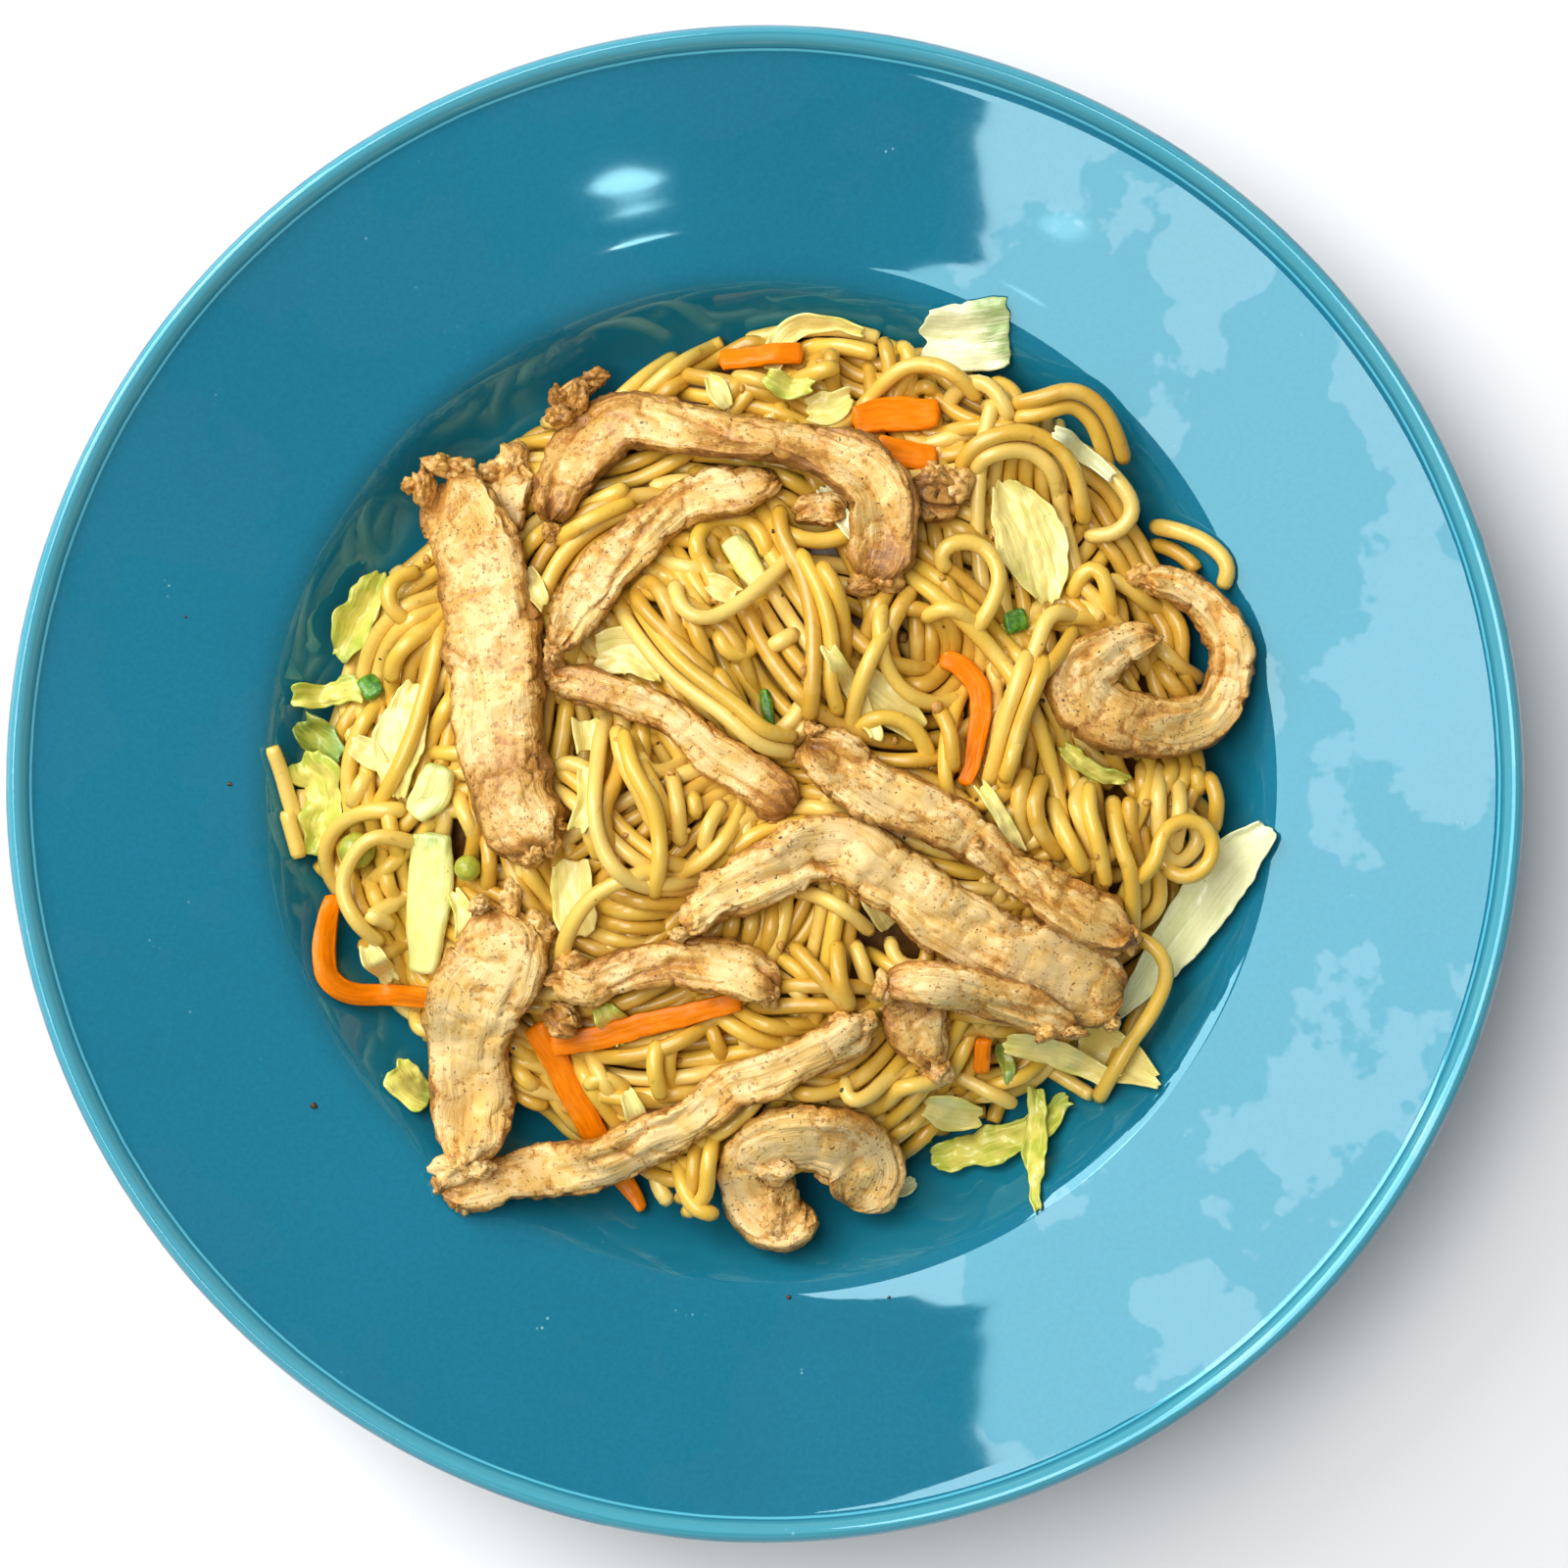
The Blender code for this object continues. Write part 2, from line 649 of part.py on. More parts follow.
def noodle_height(x, y):
    """The middle of a noodle that lies on the heap, or on the plate beyond its foot."""
    on_heap = heap_height(x, y) + NOODLE_RISE
    outward = np.hypot(x, y) + NOODLE_DIAMETER / 4
    on_plate = profile_height(outward) + NOODLE_DIAMETER / 2 + UNDERSIDE_GAP
    return np.maximum(on_heap, on_plate)


def is_free(spot, blocked):
    """Whether a noodle may pass a spot: on the heap or just past its foot, and under no topping."""
    east, north = spot[0] - HEAP_CENTRE[0], spot[1] - HEAP_CENTRE[1]
    limit = float(heap_outline(math.atan2(north, east))) + NOODLE_OVERHANG
    return math.hypot(east, north) < limit and float(read_grid(blocked, *spot)) < 0.01


def grow(spot, heading, bend, count, blocked):
    """Points of an arc from a spot, which turns aside where the way is barred, or stops."""
    points = []
    while len(points) < count:
        for turn in NOODLE_TURNS:
            way = heading + bend + turn
            ahead = spot + NOODLE_STEP * np.array([math.cos(way), math.sin(way)])
            if is_free(ahead, blocked):
                break
        else:
            break
        spot, heading = ahead, way
        points.append(spot)
    return points


def noodle_route(draw, blocked, crowd):
    """The best of many random arcs over free ground: long, and far from earlier noodles."""
    best, best_score = None, 0.0
    for _ in range(NOODLE_TRIES):
        angle = draw.uniform(0, 2 * math.pi)
        reach = math.sqrt(draw.uniform(0, 1)) * float(heap_outline(angle))
        spot = np.array(HEAP_CENTRE) + reach * np.array([math.cos(angle), math.sin(angle)])
        heading = draw.uniform(0, 2 * math.pi)
        bend = draw.uniform(-0.24, 0.24)
        if not is_free(spot, blocked):
            continue
        before = grow(spot, heading + math.pi, -bend, NOODLE_POINTS // 2, blocked)
        after = grow(spot, heading, bend, NOODLE_POINTS // 2, blocked)
        points = np.array(before[::-1] + [spot] + after)
        score = float(np.sum(1.0 - CROWDING * read_grid(crowd, *points.T)))
        if len(points) >= NOODLE_SHORTEST and score > best_score:
            best, best_score = points, score
    return best


def noodle_mesh(route, number, group):
    """A noodle as a closed mesh, from a bevelled curve with its caps welded on."""
    curve = bpy.data.curves.new(f"strand_{number}", "CURVE")
    curve.dimensions = "3D"
    curve.bevel_depth = NOODLE_DIAMETER / 2 * MM
    curve.bevel_resolution = 1
    curve.use_fill_caps = True
    heights = noodle_height(route[:, 0], route[:, 1])
    slope = 0.8 * NOODLE_STEP
    for i in range(1, len(heights)):
        heights[i] = max(heights[i], heights[i - 1] - slope)
    for i in range(len(heights) - 2, -1, -1):
        heights[i] = max(heights[i], heights[i + 1] - slope)
    line = curve.splines.new("POLY")
    line.points.add(len(route) - 1)
    for point, (x, y), z in zip(line.points, route, heights):
        point.co = (x * MM, y * MM, z * MM, 1)
    tube = bpy.data.objects.new(f"strand_{number}", curve)
    bpy.context.scene.collection.objects.link(tube)
    bpy.context.view_layer.update()
    mesh = bpy.data.meshes.new_from_object(tube.evaluated_get(bpy.context.evaluated_depsgraph_get()))
    shape = bmesh.new()
    shape.from_mesh(mesh)
    bmesh.ops.remove_doubles(shape, verts=shape.verts, dist=0.01 * MM)
    bmesh.ops.recalc_face_normals(shape, faces=shape.faces)
    shape.to_mesh(mesh)
    shape.free()
    solid = bpy.data.objects.new(f"noodle_{number}", mesh)
    solid.matrix_world = tube.matrix_world
    group.objects.link(solid)
    bpy.data.objects.remove(tube)
    return solid


def keep_largest_body(piece):
    """Fills the hollows that the union sealed and drops loose scraps: only the outer body stays."""
    shape = bmesh.new()
    shape.from_mesh(piece.data)
    waiting = set(shape.verts)
    bodies = []
    while waiting:
        body = set()
        edge_of_body = {waiting.pop()}
        while edge_of_body:
            body |= edge_of_body
            near = {edge.other_vert(vertex) for vertex in edge_of_body for edge in vertex.link_edges}
            edge_of_body = near - body
        waiting -= body
        bodies.append(body)
    outer = max(bodies, key=len)
    bmesh.ops.delete(shape, geom=[v for v in shape.verts if v not in outer], context="VERTS")
    shape.to_mesh(piece.data)
    shape.free()


def fuse_noodles(heap, relief):
    """Joins noodles to the heap where no topping lies, with one Boolean union."""
    strands = new_collection("strands")
    blocked = spread(relief.taken.astype(float), TOPPING_CLEARANCE, np.maximum)
    crowd = np.zeros_like(blocked)
    draw = np.random.RandomState(SEED)
    for number in range(NOODLE_COUNT):
        route = noodle_route(draw, blocked, crowd)
        if route is None:
            continue
        noodle_mesh(route, number, strands)
        here = np.zeros_like(crowd)
        column, row = (np.rint(route).astype(int) + GRID_HALF).T
        here[row, column] = 1.0
        crowd = np.maximum(crowd, spread(here, NOODLE_SPACING, np.maximum))
    union = heap.modifiers.new("fuse", "BOOLEAN")
    union.operation = "UNION"
    union.operand_type = "COLLECTION"
    union.collection = strands
    union.solver = "MANIFOLD"
    bpy.context.view_layer.objects.active = heap
    bpy.ops.object.modifier_apply(modifier=union.name)
    keep_largest_body(heap)
    for strand in list(strands.objects):
        bpy.data.objects.remove(strand)
    bpy.data.collections.remove(strands)


def build():
    """Makes the plate, the bare heap, the toppings from the lowest up, and the fused noodles."""
    clear_scene()
    group = new_collection("stir_fried_noodles")
    glaze = principled("teal_glaze", (0.02, 0.2, 0.31), 0.12, 0.6)
    noodle = principled("noodle", (0.8, 0.52, 0.13), 0.35, 0.2)
    meat = principled("chicken", (0.8, 0.5, 0.2), 0.5)
    orange = principled("carrot", (0.9, 0.2, 0.005), 0.35)
    pale = principled("cabbage", (0.8, 0.75, 0.3), 0.35)
    bright = principled("cabbage_green", (0.62, 0.66, 0.12), 0.35)
    green = principled("scallion", (0.12, 0.3, 0.03), 0.35)
    plate = make_plate(group, glaze)
    heap = make_heap(group, noodle)
    bpy.context.view_layer.update()
    relief = Relief()
    others = [tree_of(plate), tree_of(heap)]
    flats = [(LEAF, LEAF_THICKNESS, LEAF_WAVE, pale), (STALK, STALK_THICKNESS, STALK_WAVE, bright)]
    flats.append((SCALLION, SCALLION_THICKNESS, SCALLION_WAVE, green))
    flats.append((CARROT, CARROT_THICKNESS, CARROT_WAVE, orange))
    number = 0
    for table, thickness, wave, material in flats:
        for name, stations in table.items():
            piece = flat_strip(name, thickness, stations, wave, relief, group, material, number)
            lay(piece, stations, thickness + wave / 2, relief, others, False)
            number += 1
    for name, place in PEA.items():
        pea = make_pea(name, place, relief, group, green)
        x, y, diameter = place
        lay(pea, ((x - diameter / 3, y, diameter), (x + diameter / 3, y, diameter)), diameter, relief, others, True)
    for name, (thickness, stations) in CHICKEN.items():
        piece = chicken_strip(name, thickness, stations, relief, group, meat, number)
        lay(piece, stations, thickness, relief, others, True)
        number += 1
    fuse_noodles(heap, relief)


build()
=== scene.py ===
"""Looks of a plate of stir-fried noodles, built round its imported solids.

Metres, +Z up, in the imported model's own frame. Sizes in the tables are millimetres. The noodles
are laid one after another on a grid of heights, so that each lies on the ones before it. Every
topping follows the route of its solid and takes its height from that solid.
"""

import math

import bmesh
import bpy
import numpy as np
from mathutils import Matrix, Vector, noise
from mathutils.bvhtree import BVHTree


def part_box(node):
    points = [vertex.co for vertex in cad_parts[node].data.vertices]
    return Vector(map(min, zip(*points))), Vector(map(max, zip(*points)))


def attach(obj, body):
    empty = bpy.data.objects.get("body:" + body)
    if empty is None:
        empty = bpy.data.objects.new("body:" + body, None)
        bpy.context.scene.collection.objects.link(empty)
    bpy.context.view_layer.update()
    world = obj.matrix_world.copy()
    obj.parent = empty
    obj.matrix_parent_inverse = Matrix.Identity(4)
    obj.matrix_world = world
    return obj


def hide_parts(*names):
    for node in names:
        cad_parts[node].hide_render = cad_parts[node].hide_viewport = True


bl_info = {
    "name": "Plate of stir-fried noodles",
    "version": (1, 0, 0),
    "blender": (4, 5, 0),
    "location": "3D View > Sidebar > Noodles",
    "description": "Models stir-fried noodles with chicken and vegetables on a pasta plate",
    "category": "Add Mesh",
}

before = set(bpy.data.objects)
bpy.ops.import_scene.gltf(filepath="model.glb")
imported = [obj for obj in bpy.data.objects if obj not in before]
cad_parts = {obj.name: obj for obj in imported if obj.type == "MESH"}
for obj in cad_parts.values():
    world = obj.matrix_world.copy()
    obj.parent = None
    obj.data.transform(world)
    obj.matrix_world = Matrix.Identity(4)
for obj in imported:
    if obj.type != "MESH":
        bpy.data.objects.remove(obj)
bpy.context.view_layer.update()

MM = 0.001
SEED = 5
WHOLE_TURN = 2 * math.pi

# Plate: the profile of its floor, upper face, underside and foot, each point a radius and a height.
PLATE_FLOOR = ((1, 7), (20, 7.05), (40, 7.1))
PLATE_TOP = (
    (0, 7), (57, 7.3), (72, 9.2), (80.5, 14), (86.5, 21.2), (89.5, 24.9), (92.5, 26.9), (97.5, 28.1),
    (104.5, 29.45), (111.5, 30.85), (118.5, 32.35), (125.5, 33.95), (128.6, 34.68), (130.2, 35.07),
    (131, 35.4), (131.9, 37.1), (133.1, 37.9),
)
PLATE_UNDER = (
    (134.4, 37.2), (135, 35.6), (133.6, 33), (127, 30), (98.5, 23.5), (93, 19.6), (83.5, 10), (74, 4.8),
    (59, 3.1), (57, 0), (53.5, 0), (52, 2.6), (0, 2.6),
)
PLATE_FOOT = (
    (58.2, 1.2), (57.6, 0.25), (56.9, 0), (53.7, 0), (53, 0.3), (52.4, 1.6), (51, 2.5), (20, 2.6),
    (1, 2.6),
)
# How many points of PLATE_UNDER lie between the lip and the foot, and the height where the lip ends.
UNDER_RIM_POINTS = 9
LIP_LOWEST = 35
PLATE_SIDES = 192
PROFILE_STEP = 1.6
UNDER_STEP = 1.0
OUTERMOST = 134.95

# Bands of the glaze near the lip: the radii where each starts, is full, fades and ends. The second band is a
# painted highlight just inside the lip.
THIN_LIP = (131.2, 131.7, 134.3, 134.9)
LIP_HIGHLIGHT_LINE = (130.6, 130.85, 131.0, 131.25)
LIP_GROOVES = ((131.3, 131.45, 131.65, 131.85), (133.1, 133.3, 133.55, 133.75))
# The radii where the well's lighter colour, which is painted light, begins and is full.
WELL_EDGE = (93.0, 84.0)
FOOT_EDGE = (1.2, 0.2)

# Nothing on the dish stands higher than this.
HIGHEST = 48.8

# Heap: its outline's radius every 30 degrees from +X, and the height of the solid's crown.
HEAP_CENTRE = (-2.0, 1.0)
HEAP_OUTLINE = (81, 83.5, 84, 79, 74, 75, 80, 76, 74, 74, 73, 79)
HEAP_CROWN = 36.0
HEAP_SHAPE = 2.4
HEAP_UNEVENNESS = 1.1
UNDERSIDE_GAP = 0.45
CORE_DEPTH = 5.2
# The scene's own core lies this much lower again, this much narrower and this far off the plate.
CORE_SINK = 0.4
CORE_WIDTH = 0.97
CORE_GAP = 0.3

# Grid of heights: half-millimetre cells that reach this far from the plate's axis.
CELL = 0.5
GRID_HALF = 104.0
NO_CEILING = 999.0

# Noodles: the strands that fill the heap, and how they bend, climb and end.
STRAND_SIDES = 9
WALK_STEP = 1.2
WALK_STEPS = (50, 130)
STRAND_SPACING = 3.05
STRAND_SLOPE = 0.26
CEILING_SLOPE = 0.75
CEILING_GAP = 0.15
FILL_TRIES = 14
FILL_BUNDLES = 110
BUNDLE_STRANDS = (3, 8)
FILL_LEVEL = 0.6
FILL_UNDER_TOPPINGS = 1.5
LOWEST_CELLS = 4000
MOST_BURIED = -0.9
ROUTE_ROOM = 2.4
ROUTE_REACH = 3.5
EDGE_OVERHANG = 1.5
END_DIP = 4.4
TOP_END_DIP = END_DIP * 0.75
END_RAMP = 9.0
SHORTEST_STRAND = 10
STRANDS_IN_PIECE = 110

# The range of a noodle's thickness, as a share of the diameter, and of its tone, from deep to pale.
FILL_THICKNESS = (0.93, 1.05)
TOP_THICKNESS = (0.96, 1.06)
OVER_THICKNESS = (0.94, 1.02)
ANY_TONE = (0, 1)
PALER_TONE = (0.4, 1)

# Noodles that lie on top: how many run side by side, and the route that they follow.
TOP_ROUTES = (
    (2, (
        (-9.2, 15.7), (-10.9, 20.2), (-14.9, 30), (-17.5, 35.4), (-20.2, 37.5), (-23.3, 36.3),
        (-24.7, 33.2), (-22.1, 29.1), (-16.1, 22.9), (-11.8, 18.8), (-4.6, 11.7), (0.3, 7.9), (6, 5.9),
    )),
    (1, (
        (-4.6, 38), (-8.3, 38), (-10.9, 38.9), (-12.3, 42.6), (-10.9, 46.1), (-7.2, 47.5), (-3.4, 46.9),
        (-0.6, 44.3), (0.6, 40.3),
    )),
    (2, (
        (-20.7, 40.7), (-17.2, 37.2), (-14.4, 32.6), (-11.8, 28.6), (-9.2, 28.3), (-5.5, 30),
        (-1.5, 34.6), (1.7, 37.5), (4.6, 38.6),
    )),
    (1, (
        (2.9, 49.2), (2.5, 46.9), (3.8, 42.1), (6.5, 37.2), (8.3, 30), (8.6, 23.7), (8.3, 16.8),
        (7.8, 11.3),
    )),
    (1, ((6, 41.2), (8.6, 36.3), (10.9, 30), (11.8, 23.7), (11.4, 18), (13.2, 12.2))),
    (1, ((9.7, 38.9), (12.7, 33.5), (14, 27.4), (14, 21.1), (12.7, 16.2))),
    (1, ((-4.6, 35.8), (-2, 30), (-2, 24.6), (-4.3, 22.5), (-7.2, 23.7), (-8.3, 27.4))),
    (1, ((0.3, 23.7), (3.8, 25.7), (6, 26.9))),
    (1, ((-0.6, 13.1), (0.6, 8.7), (3.8, 7.3), (6, 8.7), (7.8, 11.3))),
    (2, ((-7.2, 21.1), (-3.8, 15.7), (-0.6, 10.8), (3.8, 6.8))),
    (1, ((-17.2, 43.8), (-13.5, 38), (-10, 30.9))),
    (2, ((-38.5, 44.3), (-35.9, 46.1), (-29.6, 49.2), (-23.8, 51.8))),
    (2, ((-20.3, 51.5), (-15.8, 52.9), (-9.7, 52.4), (-3.6, 51.5))),
    (2, ((-38.5, 26.2), (-33.2, 23), (-27.1, 19.2), (-21.9, 16.6), (-15.8, 15.4))),
    (2, ((-41.1, 19.2), (-35, 16.6), (-29.8, 14))),
    (2, ((-29.1, 13.1), (-27, 8.7), (-27.3, 2.4), (-29.6, -3.3), (-29.6, -8.7), (-27.8, -12.7))),
    (2, ((-25, 10.5), (-23.8, 4.7), (-20.7, -1.2), (-18.4, -6.5), (-16.1, -9.1))),
    (1, ((-37.6, -2.1), (-38, 1.6), (-35.9, 3.8), (-32.7, 3.3), (-29.6, 1))),
    (1, ((-23.3, 10.8), (-21.6, 7.9), (-17.5, 7.9))),
    (1, ((-22.1, 5.9), (-21.6, 2.8), (-18.9, 1.9), (-15.3, 3.3), (-13.5, 5.6))),
    (1, ((-16.7, 2.4), (-15.3, -4.2), (-14.9, -11))),
    (1, ((-12.7, -1), (-12.1, -6.5))),
    (1, ((-7.2, -3), (-10, -7.3), (-10.9, -12.2))),
    (1, ((-3.8, -3), (-4.6, -8.7), (-7.2, -12.7))),
    (2, ((-38.5, -7.9), (-35.9, -14), (-35, -20.1), (-36.7, -26.2))),
    (2, ((-31.5, -14), (-24.5, -18.3), (-15.8, -19.5), (-7.9, -17.5))),
    (1, ((18.8, 66.8), (21.9, 72.8), (24.9, 76.8), (28, 77.7), (30.8, 75.4), (32.9, 71.4))),
    (1, (
        (24, 79.4), (26.3, 76.8), (24.5, 71.4), (22.3, 67.4), (23.1, 63.9), (27.1, 61.6), (32, 61.1),
        (36.6, 61.1),
    )),
    (1, (
        (31.2, 67.9), (27.1, 68.2), (24.9, 67.4), (26.3, 64.2), (30.8, 63), (36, 63.9), (40.9, 63.9),
        (44.9, 63.4),
    )),
    (1, ((32.9, 65.6), (33.4, 69.6), (36.6, 71.9), (39.7, 71.4), (42.3, 68.2), (43.7, 64.8))),
    (2, ((44.1, 66.5), (49.5, 67.4), (54.4, 68.8), (58.4, 66.8), (61, 63), (63.3, 57.1))),
    (2, (
        (36, 55.3), (37.4, 58.5), (42.3, 60.7), (47.6, 60.7), (52.1, 57.6), (54.4, 52.7), (55.6, 46.4),
    )),
    (1, ((38.7, 54.5), (37.8, 51), (39.7, 46.4), (40.9, 43.3))),
    (1, ((60.1, 57.9), (62.7, 55), (65.5, 51.3), (65.9, 48.2), (62.7, 45), (57.5, 44.7))),
    (1, ((69.9, 46.9), (74.8, 45.6), (79.7, 43.3), (83.3, 39.3), (82.3, 34.9))),
    (1, ((69.9, 43.8), (73.4, 42.9), (77.1, 40.1), (78.5, 38))),
    (1, (
        (32.6, 37.5), (30.8, 40.1), (32.6, 42.4), (36.6, 42.9), (40.1, 40.7), (41.5, 36.1),
        (39.7, 30.9), (36.9, 26.9),
    )),
    (2, (
        (24.9, 35.8), (22.3, 31.8), (20, 26.9), (20.9, 22), (23.6, 17.1), (28, 15.7), (32, 18),
        (34.6, 22), (35.2, 26.9), (32.9, 31.8), (30.3, 35.8),
    )),
    (1, ((24, 31.2), (28.5, 30.9), (31.7, 28.3), (32.9, 23.7), (30.8, 18.3))),
    (1, ((54.7, 33.2), (56.1, 36.7), (58.4, 38.9), (60.5, 37.2), (61.5, 32.6), (62.7, 28.6))),
    (1, ((61.5, 37.2), (65.5, 35.3), (69.9, 32.1), (75.3, 31.8))),
    (2, (
        (60.1, 28.3), (55.6, 30.9), (51.6, 31.8), (48.6, 29.5), (46.7, 24.3), (44.1, 19.4),
        (41.8, 15.4),
    )),
    (1, ((55.2, 27.8), (52.1, 22.9), (48.1, 18.8), (44.1, 14.8))),
    (1, ((40.9, 31.2), (41.8, 22.3), (40.6, 13.4))),
    (1, ((69.9, 26), (74.4, 21.5), (79.7, 18.8))),
    (1, ((69.9, 22.3), (72.5, 18.8), (76.2, 14.8))),
    (2, ((-3.6, 79.4), (3.4, 80.6), (12.1, 81.2), (20.9, 79.4))),
    (1, ((45.3, 50.6), (47.4, 44.5), (51.4, 40.1), (54, 36.7))),
    (3, ((46.7, 23.6), (42.3, 11), (39.7, -0.5))),
    (2, ((50.4, 20.4), (44.9, 13.3), (40.6, 0.9))),
    (1, ((39.2, 11), (38.7, 4.4), (36.9, -3.1))),
    (1, ((18.2, 9.3), (20.9, 11.5), (24.9, 10.6), (28, 6.6))),
    (1, ((30.3, 14.1), (32.6, 9.8), (33.4, 2.1))),
    (2, ((48.1, 2.1), (46.3, -3.1), (47.6, -8.9), (52.1, -14.3))),
    (1, ((51.2, -1.9), (52.6, -8.6), (57.5, -15.7))),
    (2, ((56.1, 1.7), (53.5, -3.1), (55.2, -8.9), (58.4, -14.8))),
    (1, ((57.9, 0.3), (57.5, -4.9), (59.3, -11.2), (61, -18.3))),
    (2, ((63.6, -2.3), (64.1, -9.4), (66.4, -15.7), (67.3, -23.7), (66.8, -30.4))),
    (1, ((67.3, -6.8), (68.5, -13.4), (69.9, -20.1), (69, -29))),
    (2, (
        (69.4, 4), (69, -6.8), (70.8, -13.8), (74.4, -15.7), (78.5, -12.9), (79.7, -8.6), (77.4, -4.5),
        (73.4, -3.1), (70.4, -4.9),
    )),
    (1, ((73.9, 4), (74.4, -3.1), (73.4, -12.6))),
    (1, ((77.4, 3.5), (78.5, -2.3))),
    (1, ((79.7, 2.1), (81.4, -2.3), (81.1, -8.9))),
    (1, ((22.3, -27.2), (23.1, -31.2), (27.1, -33), (29.8, -31.2))),
    (1, ((34.3, -52.7), (45.5, -58.3))),
    (1, ((47.2, -47.6), (41.6, -62.8))),
    (1, ((51.1, -51.7), (60, -57.2))),
    (1, ((71.5, -34.9), (60.5, -57.9))),
    (2, ((57.5, 25.3), (60.1, 17.5), (64.5, 10.5), (71.5, 6.1))),
    (2, ((53.1, 17.5), (54, 10.5), (57.5, 4.4), (63.6, 0.9))),
    (2, ((0.3, -31.4), (4.3, -33.7), (8.3, -37.7), (9.2, -43.5))),
    (1, ((4.6, -28.4), (9.7, -33.7), (14.9, -40))),
    (1, ((12.7, -27.9), (13.2, -34.6), (15.4, -40))),
    (1, ((15.8, -27.9), (18.9, -36.8), (20.7, -42.6))),
    (1, ((-3.8, -40.8), (0.6, -43.5), (4.3, -46.3))),
    (1, ((-10, -42.6), (-8.3, -47.1), (-7.2, -49.7))),
    (1, ((-6, -41.4), (-3.2, -45.7), (-3.8, -50.3))),
    (1, ((-18.9, -45.7), (-19.8, -50.3), (-18.4, -56.4))),
    (1, ((-16.1, -44.9), (-17.5, -49.2), (-16.7, -54.3), (-14, -56.9))),
    (1, ((-22.1, -37.3), (-23, -41.4))),
    (1, ((-32.2, -54.6), (-29.6, -52.4), (-25.6, -54.3), (-23.8, -58.1), (-25.6, -62.7))),
    (1, ((-6.4, -48.3), (-8.3, -52.4), (-11.8, -53.8))),
    (2, ((12.7, -52.4), (13.2, -56.4), (16.3, -58.1), (20.3, -56.4), (23.8, -53.2), (31.3, -52))),
    (1, ((22.1, -59.2), (26.1, -56), (31.3, -54.6))),
    (1, ((24.7, -65.8), (31.3, -64.9))),
    (2, ((-9.5, -58), (-11.5, -68), (-12, -74), (-15.5, -76.5))),
    (1, ((-16.5, -62), (-15.5, -70.2), (-13, -76), (-8.5, -77.5))),
    (1, ((-20.5, -66), (-19.5, -73), (-17, -76.5))),
    (2, ((21.7, -48), (28.7, -45.4), (35.7, -46.3), (40.1, -49.7))),
    (1, ((-62, 38.4), (-66.2, 37), (-67.6, 33.2), (-66.2, 30.4), (-63.4, 29))),
    (1, ((-69, 37.3), (-65.7, 39.8))),
    (1, ((-59.3, 36), (-58.2, 30), (-62.9, 25.8), (-66.6, 22), (-67.1, 18.3))),
    (1, ((-72.7, 27.2), (-69.6, 22.9), (-67.6, 19.2))),
    (1, ((-58.2, 29), (-60.1, 22.9), (-61.5, 17.3), (-61.5, 12.7))),
    (1, ((-70.9, 2.4), (-73.2, -1.4), (-74.6, -4.2))),
    (1, ((-65.7, -3.7), (-70.4, -4.7), (-75.5, -7), (-78.8, -10.6), (-78.8, -15), (-75.1, -17.8))),
    (1, ((-63.4, -9.8), (-69, -9.8), (-73.2, -9.8), (-75.1, -14), (-75.5, -19.2), (-73.2, -23.7))),
    (1, ((-55.4, 3.3), (-54.5, -3.3), (-52.1, -8.4), (-51.7, -13.1))),
    (1, ((-50.4, -7.5), (-49, -13.1), (-49.8, -19.5))),
    (1, ((-89.1, 7.3), (-87.4, 1.7), (-85.6, -5.2), (-82.5, -10.5))),
    (1, ((-84.2, -0.3), (-84.2, -8.4))),
    (1, ((-86.8, -4.2), (-84.4, -14))),
    (1, ((-82.1, -14), (-76.9, -19.2))),
)

